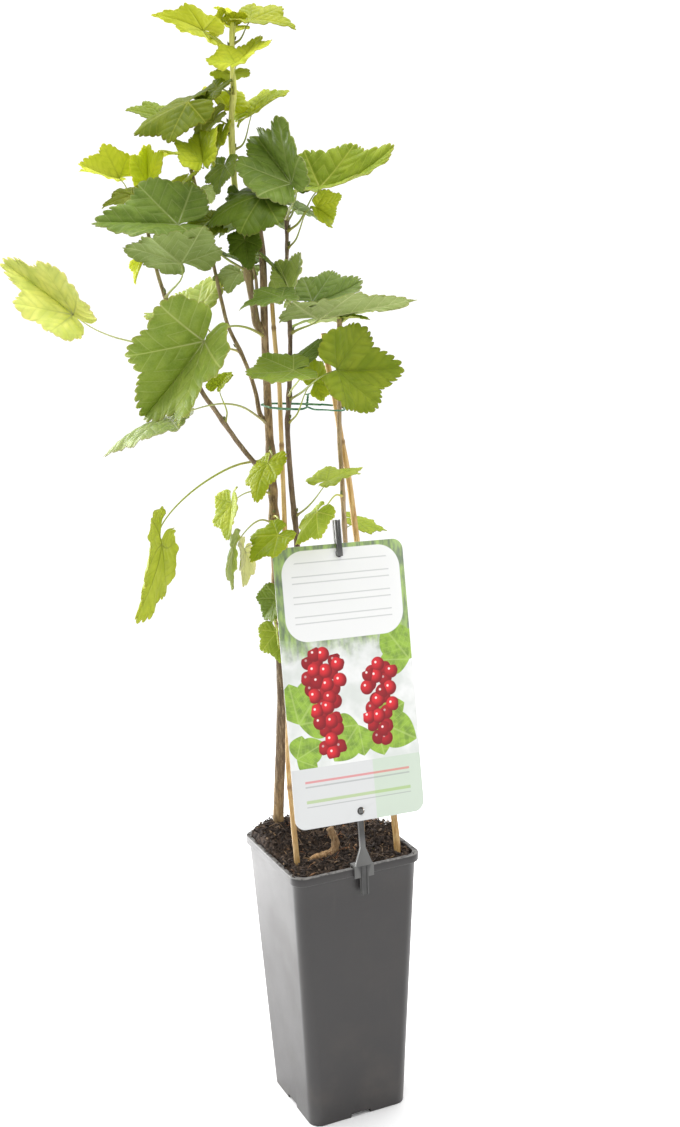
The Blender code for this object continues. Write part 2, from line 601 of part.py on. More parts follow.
def make_stake():
    """Make the label's stake: a strip behind the card, its pegs and its clip on the rim."""
    place = card_place()
    back = CARD_THICKNESS + GAP
    upper = CARD_HEIGHT / 2
    hole = upper - CARD_HOLE_INSET
    bm = bmesh.new()
    box(bm, (-STAKE_WIDTH / 2, back, -upper - STRIP_DROP),
        (STAKE_WIDTH / 2, back + STAKE_THICKNESS, upper + PRONG_RISE))
    bmesh.ops.transform(bm, verts=bm.verts, matrix=place)
    stake = add_object("label_stake", bm, "stake_plastic")
    pegs = bmesh.new()
    for sign in (1, -1):
        box(pegs, (-STAKE_WIDTH / 3, -GAP - STAKE_THICKNESS / 2, sign * hole - STAKE_WIDTH / 3),
            (STAKE_WIDTH / 3, back + STAKE_THICKNESS / 2, sign * hole + STAKE_WIDTH / 3))
    bmesh.ops.transform(pegs, verts=pegs.verts, matrix=place)
    boolean(stake, add_object("stake_pegs", pegs, cutter=True), "UNION")
    prong = bmesh.new()
    box(prong, (-STAKE_WIDTH / 2, -GAP - STAKE_THICKNESS, hole - STAKE_WIDTH / 2),
        (STAKE_WIDTH / 2, -GAP, upper + PRONG_RISE))
    bmesh.ops.transform(prong, verts=prong.verts, matrix=place)
    boolean(stake, add_object("stake_prong", prong, cutter=True), "UNION")
    low = place @ Vector((0, back + STAKE_THICKNESS / 2, -upper - STRIP_DROP / 2))
    rim_outside = -RIM_SIDE / 2 - GAP
    seat = Vector((CLIP_X, rim_outside - CLIP_WALL / 2, POT_HEIGHT + CLIP_WALL))
    shank = bmesh.new()
    bmesh.ops.create_cube(shank, size=1)
    bmesh.ops.bisect_plane(shank, geom=shank.verts[:] + shank.edges[:] + shank.faces[:],
                           plane_co=(0, 0, 0), plane_no=(0, 0, 1))
    knee = low.lerp(seat, SHANK_KNEE)
    levels = {1: (low, STAKE_WIDTH), 0: (knee, STAKE_WIDTH), -1: (seat, SHANK_FOOT)}
    for vert in shank.verts:
        middle, width = levels[round(2 * vert.co.z)]
        vert.co = middle + Vector((vert.co.x * width, vert.co.y * STAKE_THICKNESS, 0))
    boolean(stake, add_object("stake_shank", shank, cutter=True), "UNION")
    clip = bmesh.new()
    inner_face = -(body_side(POT_HEIGHT - RIM_DEPTH) / 2 - WALL)
    box(clip, (CLIP_X - CLIP_WIDTH / 2, rim_outside - CLIP_WALL, POT_HEIGHT - CLIP_INNER),
        (CLIP_X + CLIP_WIDTH / 2, inner_face + GAP + CLIP_WALL, POT_HEIGHT + CLIP_WALL))
    boolean(stake, add_object("stake_clip", clip, cutter=True), "UNION")
    leg = bmesh.new()
    box(leg, (CLIP_X - CLIP_WIDTH / 2, rim_outside - CLIP_WALL, POT_HEIGHT - CLIP_HEIGHT),
        (CLIP_X + CLIP_WIDTH / 2, rim_outside, POT_HEIGHT))
    boolean(stake, add_object("stake_leg", leg, cutter=True), "UNION")
    tongue = bmesh.new()
    box(tongue, (CLIP_X - TONGUE_WIDTH / 2, rim_outside - CLIP_WALL,
                 POT_HEIGHT - CLIP_HEIGHT - TONGUE_HEIGHT),
        (CLIP_X + TONGUE_WIDTH / 2, rim_outside, POT_HEIGHT))
    boolean(stake, add_object("stake_tongue", tongue, cutter=True), "UNION")
    slot = bmesh.new()
    box(slot, (CLIP_X - CLIP_WIDTH, rim_outside, POT_HEIGHT - CLIP_HEIGHT),
        (CLIP_X + CLIP_WIDTH, inner_face + GAP, POT_HEIGHT + GAP))
    boolean(stake, add_object("stake_slot", slot, cutter=True), "DIFFERENCE")


def make_tie():
    """Make the wire tie: a loop round the bundle, closed by a short twist."""
    loop = [plant_point(*point) for point in TIE_LOOP]
    curve = bpy.data.curves.new("tie_wire", "CURVE")
    curve.dimensions = "3D"
    spline = curve.splines.new("NURBS")
    spline.points.add(len(loop) - 1)
    for knot, point in zip(spline.points, loop):
        knot.co = (*point, 1)
    spline.use_cyclic_u = True
    spline.order_u = 3
    curve.resolution_u = 2
    curve.bevel_depth = TIE_RADIUS
    curve.bevel_resolution = 1
    guide = bpy.data.objects.new("tie_guide", curve)
    bpy.context.scene.collection.objects.link(guide)
    guide.hide_render = True
    bm = bmesh.new()
    graph = bpy.context.evaluated_depsgraph_get()
    bm.from_mesh(bpy.data.meshes.new_from_object(guide.evaluated_get(graph)))
    tie = add_object("tie_wire", bm, "tie_coating", smooth=True)
    tail = bmesh.new()
    points = [plant_point(*point) for point in TIE_TAIL]
    sweep(tail, points, [share * TIE_RADIUS for share in TIE_TWIST], STALK_SIDES)
    boolean(tie, add_object("tie_twist", tail, cutter=True), "UNION")


def blade_axes(spec):
    """The blade's directions: along the midrib, to its left, and out of its upper face."""
    bearing, rise, roll = (math.radians(a) for a in (spec.bearing, spec.rise, spec.roll))
    along = plant_direction(bearing, rise)
    upward = plant_direction(bearing, rise + math.radians(90))
    left = upward.cross(along)
    turned_left = left * math.cos(roll) - upward * math.sin(roll)
    outward = upward * math.cos(roll) + left * math.sin(roll)
    return along, turned_left, outward


def blade_point(spec, axes, angle, reach, phase):
    """A point of the blade's upper face at an angle from the midrib and a share of the reach.

    The blade is folded along its midrib, bends down towards its tip and ripples at its edge.
    """
    along, left, outward = axes
    outline = dict(BLADE_OUTLINE)[abs(angle)]
    x = outline * reach * math.cos(math.radians(angle))
    y = outline * reach * math.sin(math.radians(abs(angle))) * spec.breadth
    fold = math.radians(spec.fold)
    side = math.copysign(1, angle)
    lift = y * math.sin(fold) - math.tan(math.radians(spec.bend)) * x * abs(x)
    lift += BLADE_RIPPLE * reach * reach * math.sin(math.radians(angle) * BLADE_WAVES + phase)
    offset = along * x + left * side * y * math.cos(fold) + outward * lift
    return plant_point(*spec.hub) + offset * spec.length * MM


def make_leaf(name, spec, phase, path):
    """Make one leaf: the blade, thickened, and joined to the stalk that reaches its stem."""
    axes = blade_axes(spec)
    half = [angle for angle, _ in BLADE_OUTLINE]
    angles = [-angle for angle in reversed(half[1:])] + half
    bm = bmesh.new()
    hub = bm.verts.new(plant_point(*spec.hub))
    rings = [[bm.verts.new(blade_point(spec, axes, angle, reach, phase)) for angle in angles]
             for reach in BLADE_RINGS]
    inner, outer = rings
    for k in range(len(angles) - 1):
        bm.faces.new((hub, inner[k], inner[k + 1]))
        bm.faces.new((inner[k], outer[k], outer[k + 1]))
        bm.faces.new((inner[k], outer[k + 1], inner[k + 1]))
    blade = add_object(f"leaf_{name}", bm, spec.finish, smooth=True)
    if blade.data.polygons[len(angles) // 2].normal.dot(axes[2]) < 0:
        blade.data.flip_normals()
    solidify = blade.modifiers.new("Thickness", "SOLIDIFY")
    solidify.thickness = BLADE_THICKNESS
    solidify.offset = -1
    boolean(blade, make_stalk(name, spec, axes, path), "UNION")


def make_stalk(name, spec, axes, path):
    """The leaf's stalk: a curved tube from the stem's side to the underside of the blade."""
    along, _, outward = axes
    hub = plant_point(*spec.hub)
    centre, upward, radius = path.at_height(spec.foot * MM)
    sideways = hub - centre
    sideways = (sideways - upward * sideways.dot(upward)).normalized()
    foot = centre + sideways * (radius + GAP)
    end = hub - outward * BLADE_THICKNESS * STALK_SEAT
    reach = (end - foot).length
    arch = Vector((0, 0, spec.arch * MM))
    leave = foot + (sideways * STALK_LEAVES[0] + upward * STALK_LEAVES[1]) * reach + arch
    arrive = end - (along * STALK_ARRIVES[0] + outward * STALK_ARRIVES[1]) * reach + arch
    points, radii = [], []
    thick = (STALK_RADIUS + STALK_GROWTH * spec.length) * MM
    foot_share, blade_share = STALK_TAPER
    for step in range(STALK_STEPS):
        t = step / (STALK_STEPS - 1)
        near = foot * (1 - t) ** 3 + leave * 3 * t * (1 - t) ** 2
        points.append(near + arrive * 3 * t * t * (1 - t) + end * t**3)
        radii.append(thick * (foot_share * (1 - t) + blade_share * t))
    bm = bmesh.new()
    sweep(bm, points, radii, STALK_SIDES, first=sideways, last=outward)
    return add_object(f"stalk_{name}", bm, cutter=True)


def main():
    """Build the pot, the bush, its supports and its label."""
    clear_scene()
    make_pot()
    paths = {name: make_stem(name) for name in STEMS}
    sockets = [stem_socket(name, paths[name]) for name in BURIED_STEMS]
    sockets.append(make_root())
    make_soil(sockets)
    make_card()
    make_stake()
    make_tie()
    for index, (name, spec) in enumerate(LEAVES.items()):
        make_leaf(name, spec, phase=index * PHASE_STEP, path=paths[spec.stem])


main()
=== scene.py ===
"""A young red currant bush in a deep square nursery pot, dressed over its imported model.

Every leaf, stem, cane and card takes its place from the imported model's own piece. The leaves are
grown again as lobed, toothed and quilted blades on round stalks, the stems as knobbly bark, and
the pot, the peat, the label and its stake get the finish of the real ones.
"""

import functools
import logging
import random
from collections.abc import Callable, Iterable, Sequence
from dataclasses import dataclass, field
from enum import Enum
from math import atan2, copysign, cos, degrees, exp, pi, radians, sin

import bmesh
import bpy
import numpy as np
from bmesh.types import BMEdge, BMesh, BMFace, BMVert
from bpy.types import Material, Mesh, NodeSocket, Object
from mathutils import Matrix, Vector, noise


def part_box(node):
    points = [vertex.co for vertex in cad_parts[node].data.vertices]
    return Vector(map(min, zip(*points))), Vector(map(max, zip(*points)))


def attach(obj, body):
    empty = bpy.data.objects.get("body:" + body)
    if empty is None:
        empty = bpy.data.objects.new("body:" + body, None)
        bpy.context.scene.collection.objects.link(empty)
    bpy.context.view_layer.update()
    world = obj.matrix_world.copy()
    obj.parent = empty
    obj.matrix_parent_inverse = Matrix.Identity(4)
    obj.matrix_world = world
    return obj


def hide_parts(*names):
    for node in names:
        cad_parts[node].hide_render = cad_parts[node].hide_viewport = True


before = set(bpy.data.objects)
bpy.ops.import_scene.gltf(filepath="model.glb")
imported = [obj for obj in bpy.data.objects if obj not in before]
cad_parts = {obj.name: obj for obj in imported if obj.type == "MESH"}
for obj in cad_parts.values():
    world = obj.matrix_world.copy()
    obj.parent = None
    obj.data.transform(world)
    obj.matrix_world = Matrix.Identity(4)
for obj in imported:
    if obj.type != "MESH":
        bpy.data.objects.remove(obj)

MM = 0.001
UP = Vector((0, 0, 1))
BODY = "root"
WELD = 0.01 * MM
FLAT_ANGLE = radians(0.3)
STEM_SIDES = 8
STALK_SIDES = 6
POT_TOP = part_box("pot")[1].z
Colour = tuple[float, float, float]
Place = tuple[float, float, float]
Stops = tuple[tuple[float, Colour], ...]
log = logging.getLogger("bush")


def operator(operation: str, swapped: bool = False) -> Callable[["Wire", "Wire | float"], "Wire"]:
    """An operator that works out a Math node's operation on two values, in order or swapped.

    Args:
        operation: the node's operation.
        swapped: whether the second value is put first.

    Returns:
        The operator.
    """

    def work_out(first: "Wire", second: "Wire | float") -> "Wire":
        """Work out the operation."""
        return first.shader.math(operation, *((second, first) if swapped else (first, second)))

    return work_out


class Wire:
    """A value in a material's node tree, on which shader maths is written as Python."""

    def __init__(self, shader: "Shader", socket: NodeSocket) -> None:
        """Wrap an output socket of the shader's tree."""
        self.shader, self.socket = shader, socket

    def __abs__(self) -> "Wire":
        """Drop the sign."""
        return self.shader.math("ABSOLUTE", self)

    __add__ = __radd__ = operator("ADD")
    __sub__ = operator("SUBTRACT")
    __rsub__ = operator("SUBTRACT", swapped=True)
    __mul__ = __rmul__ = operator("MULTIPLY")
    __truediv__ = operator("DIVIDE")
    __pow__ = operator("POWER")
    __gt__ = operator("GREATER_THAN")


class Shader:
    """A material's node tree with one Principled surface, built through a few methods."""

    def __init__(self, name: str) -> None:
        """Start a material.

        Args:
            name: the material's name.
        """
        self.material = bpy.data.materials.new(name)
        self.material.use_nodes = True
        self.tree = self.material.node_tree
        self.surface = self.tree.nodes["Principled BSDF"]
        self.output = self.tree.nodes["Material Output"]

    def node(
        self, kind: str, settings: dict | None = None, sockets: dict | None = None
    ) -> bpy.types.Node:
        """Add a node.

        Args:
            kind: the node's type.
            settings: what is set on the node before its sockets; "stops" fills a colour ramp.
            sockets: values or wires by socket name or number.

        Returns:
            The new node.
        """
        made = self.tree.nodes.new(kind)
        for key, value in (settings or {}).items():
            if key == "stops":
                self.fill_ramp(made.color_ramp, value)
            else:
                setattr(made, key, value)
        for key, value in (sockets or {}).items():
            self.feed(made.inputs[key], value)
        return made

    def wire(self, kind: str, settings: dict | None, sockets: dict, output: int = 0) -> Wire:
        """Add a node as node does, and take the value of one of its outputs."""
        return Wire(self, self.node(kind, settings, sockets).outputs[output])

    def fill_ramp(self, ramp: bpy.types.ColorRamp, stops: Stops) -> None:
        """Fill a colour ramp.

        Args:
            ramp: the ramp.
            stops: places from 0 to 1, each with its colour.
        """
        while len(ramp.elements) < len(stops):
            ramp.elements.new(1.0)
        for element, (place, colour) in zip(ramp.elements, stops):
            element.position = place
            element.color = (*colour, 1.0)

    def feed(self, socket: NodeSocket, value: object) -> None:
        """Link a wire to a socket, or set the socket's own value.

        Args:
            socket: the input socket.
            value: a wire, an output socket, a number, or a tuple.
        """
        if isinstance(value, Wire):
            value = value.socket
        if isinstance(value, NodeSocket):
            self.tree.links.new(value, socket)
        elif isinstance(value, tuple) and len(value) == 3 and socket.type == "RGBA":
            socket.default_value = (*value, 1.0)
        else:
            socket.default_value = value

    def math(self, operation: str, *values: "Wire | float") -> Wire:
        """Work out a value with a Math node's operation."""
        return self.wire("ShaderNodeMath", {"operation": operation}, dict(enumerate(values)))

    def uv(self, name: str) -> tuple[Wire, Wire]:
        """The two coordinates of a UV map of the piece."""
        return self.split(self.node("ShaderNodeUVMap", {"uv_map": name}).outputs[0])

    def place(self) -> NodeSocket:
        """The place in the piece's own coordinates, in metres."""
        return self.node("ShaderNodeTexCoord").outputs["Object"]

    def attribute(self, name: str, output: str = "Fac") -> Wire:
        """A value that the mesh holds for each of its points."""
        made = self.node("ShaderNodeAttribute", {"attribute_name": name})
        return Wire(self, made.outputs[output])

    def height(self) -> Wire:
        """The height above the floor, in metres."""
        return self.wire("ShaderNodeSeparateXYZ", None, {0: self.place()}, 2)

    def split(self, vector: object) -> tuple[Wire, Wire]:
        """The first two parts of a vector."""
        made = self.node("ShaderNodeSeparateXYZ", None, {0: vector})
        return Wire(self, made.outputs[0]), Wire(self, made.outputs[1])

    def join(self, x: Wire, y: Wire) -> Wire:
        """A flat vector from two values."""
        return self.wire("ShaderNodeCombineXYZ", None, {0: x, 1: y})

    def scaled(self, vector: object, scale: tuple[float, float, float]) -> Wire:
        """A vector times three numbers."""
        return self.wire("ShaderNodeVectorMath", {"operation": "MULTIPLY"}, {0: vector, 1: scale})

    def noise(
        self, vector: object, scale: float, detail: float = 3.0, roughness: float = 0.55
    ) -> Wire:
        """Soft noise from 0 to 1, with as many finer and fainter octaves as detail says."""
        sockets = {"Vector": vector, "Scale": scale, "Detail": detail, "Roughness": roughness}
        return self.wire("ShaderNodeTexNoise", None, sockets)

    def cells(self, vector: object, scale: float, feature: str = "DISTANCE_TO_EDGE") -> Wire:
        """A cell pattern: the distance to the cell's edge or centre."""
        sockets = {"Vector": vector, "Scale": scale}
        return self.wire("ShaderNodeTexVoronoi", {"feature": feature}, sockets)

    def cell_tint(self, vector: object, scale: float) -> Wire:
        """A number from 0 to 1 that is the same all over each cell."""
        made = self.node("ShaderNodeTexVoronoi", None, {"Vector": vector, "Scale": scale})
        return self.split(made.outputs["Color"])[0]

    def step(
        self, value: Wire, low: float, high: float, start: float = 0.0, end: float = 1.0
    ) -> Wire:
        """Ease from one number to another as a value rises.

        Args:
            value: the value that rises.
            low: where the change begins.
            high: where it ends.
            start: the result below low.
            end: the result above high.

        Returns:
            The eased result.
        """
        ends = {"From Min": low, "From Max": high, "To Min": start, "To Max": end}
        settings = {"interpolation_type": "SMOOTHSTEP"}
        return self.wire("ShaderNodeMapRange", settings, {"Value": value, **ends})

    def blend(self, share: "Wire | float", first: object, second: object, way: str = "MIX") -> Wire:
        """Blend a share of a second colour into a first, in a Mix node's way."""
        settings = {"data_type": "RGBA", "blend_type": way}
        return self.wire("ShaderNodeMix", settings, {0: share, 6: first, 7: second}, 2)

    def ramp(self, value: Wire, stops: Stops) -> Wire:
        """A colour read from a ramp of stops."""
        return self.wire("ShaderNodeValToRGB", {"stops": stops}, {0: value})

    def bump(self, height: Wire, depth: float, strength: float = 1.0) -> Wire:
        """A normal from a height pattern of a depth in metres."""
        sockets = {"Height": height, "Distance": depth, "Strength": strength}
        return self.wire("ShaderNodeBump", None, sockets)

    def finish(self, **values: object) -> None:
        """Set the surface's sockets, with underscores for the spaces in their names."""
        for key, value in values.items():
            self.feed(self.surface.inputs[key.replace("_", " ")], value)

    def let_light_through(self, colour: object, share: float) -> None:
        """Let a share of the light through, as a thin living blade does.

        Args:
            colour: the colour of what comes through.
            share: how much of the surface's light is let through.
        """
        through = self.node("ShaderNodeBsdfTranslucent", None, {"Color": colour})
        surfaces = {0: share, 1: self.surface.outputs[0], 2: through.outputs[0]}
        both = self.node("ShaderNodeMixShader", None, surfaces)
        self.tree.links.new(both.outputs[0], self.output.inputs["Surface"])


@dataclass
class Finish:
    """A finish, which paints its own material."""

    name: str

    def make(self) -> Material:
        """Paint the finish.

        Returns:
            Its material.
        """
        self.shader = Shader(self.name)
        self.place = self.shader.place()
        self.paint()
        return self.shader.material

    def paint(self) -> None:
        """Set the surface of the material."""


@dataclass(frozen=True)
class Piece:
    """What a finished piece is called, what it takes its finish from, and what it stands for."""

    name: str
    slot: str
    nodes: tuple[str, ...] = ()

    def set_down(
        self, shape: "BMesh | Mesh", finishes: Sequence[Material], sharp: float | None = None
    ) -> Object:
        """Turn a shape into the finished piece, riding on the bush's one body.

        Args:
            shape: the piece's shape; a bmesh is freed.
            finishes: its materials, by number.
            sharp: the angle in degrees past which an edge stays crisp, or None to smooth all.

        Returns:
            The piece.
        """
        mesh = as_mesh(shape) if isinstance(shape, BMesh) else shape
        mesh.name = self.name
        for finish in finishes:
            mesh.materials.append(finish)
        mesh.shade_smooth()
        if sharp is not None:
            mesh.set_sharp_from_angle(angle=radians(sharp))
        piece = linked(self.name, mesh)
        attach(piece, BODY)
        if self.nodes:
            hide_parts(*self.nodes)
        log.info("%s with %d faces", self.name, len(mesh.polygons))
        return piece


def as_mesh(shape: BMesh) -> Mesh:
    """A mesh from a bmesh, which is freed."""
    mesh = bpy.data.meshes.new("shape")
    shape.to_mesh(mesh)
    shape.free()
    return mesh


def linked(name: str, data: bpy.types.ID) -> Object:
    """A new object in the scene."""
    made = bpy.data.objects.new(name, data)
    bpy.context.scene.collection.objects.link(made)
    return made


def moved(made: list, kind: type) -> list:
    """What a bmesh operation made, of one kind."""
    return [item for item in made if isinstance(item, kind)]


def rounded(
    bm: BMesh, geom: list, offset: float, segments: int = 2, affect: str = "EDGES",
    clamp: bool = False,
) -> list[BMVert]:
    """Round some edges or corners.

    Args:
        bm: the shape.
        geom: its edges or corners that are rounded.
        offset: how far the rounding reaches.
        segments: how many faces go round it.
        affect: whether EDGES or VERTICES are rounded.
        clamp: whether a rounding stops where it meets another.

    Returns:
        The new points.
    """
    return bmesh.ops.bevel(bm, geom=geom, offset=offset, segments=segments, profile=0.5,
                           affect=affect, material=-1, clamp_overlap=clamp)["verts"]


def welded_copy(node: str) -> BMesh:
    """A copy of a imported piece's mesh with its loose triangles merged."""
    bm = bmesh.new()
    bm.from_mesh(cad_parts[node].data)
    bmesh.ops.remove_doubles(bm, verts=bm.verts, dist=WELD)
    bm.verts.index_update()
    return bm


@dataclass
class TubePath:
    """The middle line of a round piece and its thickness along it."""

    points: list[Vector]
    radii: list[float]

    @classmethod
    def read(cls, bm: BMesh, sides: int, order: Callable[[Vector], float]) -> "TubePath":
        """Read the rings of a packed tube from its first end cap, as far as they run.

        Args:
            bm: the welded mesh that holds the tube.
            sides: how many sides the tube has.
            order: gives its least value for the middle of the first cap.

        Returns:
            The tube's path.
        """
        flat = bm.copy()
        bmesh.ops.dissolve_limit(flat, angle_limit=FLAT_ANGLE, verts=flat.verts, edges=flat.edges)
        caps = [face for face in flat.faces if len(face.verts) == sides]
        cap = min(caps, key=lambda face: order(face.calc_center_median()))
        corners = [vert.co.copy() for vert in cap.verts]
        flat.free()
        ring = [min(bm.verts, key=lambda vert: (vert.co - corner).length) for corner in corners]
        points, radii, seen = [], [], set(ring)
        while len(ring) == sides:
            centre = sum((vert.co for vert in ring), Vector()) / sides
            points.append(centre)
            radii.append(sum((vert.co - centre).length for vert in ring) / sides)
            found = {edge.other_vert(vert) for vert in ring for edge in vert.link_edges} - seen
            ring = sorted(found, key=lambda vert: vert.index)
            seen.update(ring)
        return cls(points, radii)

    def smooth(self, step: float) -> "TubePath":
        """The same path with a smooth curve through its points.

        Args:
            step: the distance between the new points.

        Returns:
            The finer path.
        """
        points, radii = [], []
        last = len(self.points) - 1
        for k in range(last):
            a, b = self.points[k], self.points[k + 1]
            before = self.points[k - 1] if k else a * 2 - b
            after = self.points[k + 2] if k + 2 <= last else b * 2 - a
            count = max(1, round((b - a).length / step))
            for i in range(count):
                t = i / count
                points.append(
                    0.5
                    * (
                        2 * a
                        + (b - before) * t
                        + (2 * before - 5 * a + 4 * b - after) * t**2
                        + (3 * a - before - 3 * b + after) * t**3
                    )
                )
                radii.append(self.radii[k] * (1 - t) + self.radii[k + 1] * t)
        return TubePath([*points, self.points[-1]], [*radii, self.radii[-1]])

    def lengths(self) -> list[float]:
        """How far along the path each point is."""
        found = [0.0]
        for a, b in zip(self.points, self.points[1:]):
            found.append(found[-1] + (b - a).length)
        return found

    def frames(self) -> list[Matrix]:
        """A turn for each point that faces it along the path without twisting.

        Returns:
            The turns.
        """
        count = len(self.points)
        facing = [
            (self.points[min(k + 1, count - 1)] - self.points[max(k - 1, 0)]).normalized()
            for k in range(count)
        ]
        turn = UP.rotation_difference(facing[0])
        turns = [turn.to_matrix()]
        for before, after in zip(facing, facing[1:]):
            turn = before.rotation_difference(after) @ turn
            turns.append(turn.to_matrix())
        return turns

    def build(self, bm: BMesh, sides: int,
              relief: Callable[[Vector, float, int], float] | None = None,
              material: int = 0) -> None:
        """Add the round piece to a bmesh, with its ends closed.

        Args:
            bm: where it is added.
            sides: how many sides it has.
            relief: the radius's factor at a point of the surface, for its length along and ring.
            material: the material's number.
        """
        along = bm.verts.layers.float.get("along") or bm.verts.layers.float.new("along")
        share = bm.verts.layers.float.get("share") or bm.verts.layers.float.new("share")
        rings = len(self.points) - 1
        made = bmesh.ops.create_grid(bm, x_segments=rings, y_segments=sides, size=1)["verts"]
        lengths, turns = self.lengths(), self.frames()
        for vert in made:
            k = round((vert.co.x + 1) / 2 * rings)
            angle = pi * (1 + vert.co.y)
            out = turns[k] @ Vector((cos(angle), sin(angle), 0))
            place = self.points[k] + out * self.radii[k]
            factor = relief(place, lengths[k], k) if relief else 1.0
            vert.co = self.points[k] + out * self.radii[k] * factor
            vert[along] = lengths[k]
            vert[share] = lengths[k] / lengths[-1]
        faces = dict.fromkeys(face for vert in made for face in vert.link_faces)
        bmesh.ops.remove_doubles(bm, verts=made, dist=WELD / 100)
        faces = [face for face in faces if face.is_valid]
        rims = dict.fromkeys(edge for face in faces for edge in face.edges if edge.is_boundary)
        faces += bmesh.ops.holes_fill(bm, edges=list(rims), sides=sides)["faces"]
        bmesh.ops.recalc_face_normals(bm, faces=faces)
        for face in faces:
            face.material_index = material


class Outline:
    """The flat outline of a lobed currant leaf, with its round teeth.

    Lengths are shares of the leaf's length, x runs along the midrib and y to its left.
    """

    ANGLES = (0, 9, 19, 29, 38, 50, 60, 70, 79, 92, 106, 120, 138, 152, 163)
    REACHES = (1.03, 0.95, 0.83, 0.73, 0.77, 0.83, 0.8, 0.72, 0.63, 0.62, 0.64, 0.61, 0.51, 0.43,
               0.33)
    LOBES = (0, 50, -50, 106, -106)
    LOBE_CHANGE = 0.07
    LOBE_SPREAD = 16
    TEETH = 39
    TOOTH_STEPS = (0.0, 0.14, 0.38, 0.62, 0.86)
    TOOTH_DEPTH = 0.062
    SAMPLES = 1441
    SMOOTHING = 2.2

    def __init__(self, rng: np.random.Generator, teeth: int = TEETH) -> None:
        """Draw one leaf's outline, a little different from every other.

        Args:
            rng: the source of the leaf's small differences.
            teeth: how many teeth it has, an odd number.
        """
        widest = self.ANGLES[-1]
        angles = np.linspace(-widest, widest, self.SAMPLES)
        reach = np.interp(np.abs(angles), self.ANGLES, self.REACHES)
        reach = reach + 0.03 * np.sin(np.radians(angles) * 2.5 + rng.uniform(0, 6))
        for lobe in self.LOBES:
            near = np.exp(-(((angles - lobe) / self.LOBE_SPREAD) ** 2))
            reach = reach * (1 + rng.uniform(-self.LOBE_CHANGE, self.LOBE_CHANGE) * near)
        spread = round(4 * self.SMOOTHING * self.SAMPLES / (2 * widest))
        width = self.SMOOTHING * self.SAMPLES / (2 * widest)
        kernel = np.exp(-0.5 * (np.arange(-spread, spread + 1) / width) ** 2)
        padded = np.pad(reach, spread, mode="edge")
        reach = np.convolve(padded, kernel / kernel.sum(), mode="valid")
        angles = np.radians(angles)
        xy = np.stack([reach * np.cos(angles), reach * np.sin(angles)], 1)
        run = np.concatenate([[0], np.cumsum(np.linalg.norm(np.diff(xy, axis=0), axis=1))])
        run /= run[-1]
        place, bite = [], []
        depths = self.TOOTH_DEPTH * rng.uniform(0.45, 1.35, teeth)
        widths = rng.uniform(0.6, 1.4, teeth)
        starts = np.concatenate([[0], np.cumsum(widths)]) / widths.sum()
        for tooth in range(teeth):
            for step in self.TOOTH_STEPS:
                lean = step if tooth < teeth / 2 else 1 - step
                crown = sin(pi * lean**0.8) ** 0.75 if 0 < lean < 1 else 0.0
                place.append(starts[tooth] + step * widths[tooth] / widths.sum())
                bite.append(1 - depths[tooth] * (1 - crown) * (1 if 0 < tooth else 0.5))
        place.append(1.0)
        bite.append(1.0 - self.TOOTH_DEPTH / 2)
        self.angles = np.interp(place, run, angles)
        self.reach = np.interp(place, run, reach)
        self.bite = np.array(bite)
        self.columns = len(place) - 1

    @classmethod
    def rays(cls) -> tuple[np.ndarray, np.ndarray]:
        """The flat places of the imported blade's outer points, from its right side to its left."""
        angles = np.radians([0, 17, 32, 45, 58, 74, 90, 118, 150])
        reaches = np.array([1.0, 0.83, 0.7, 0.76, 0.8, 0.7, 0.58, 0.6, 0.42])
        angles = np.concatenate([-angles[:0:-1], angles])
        reaches = np.concatenate([reaches[:0:-1], reaches])
        return reaches * np.cos(angles), reaches * np.sin(angles)


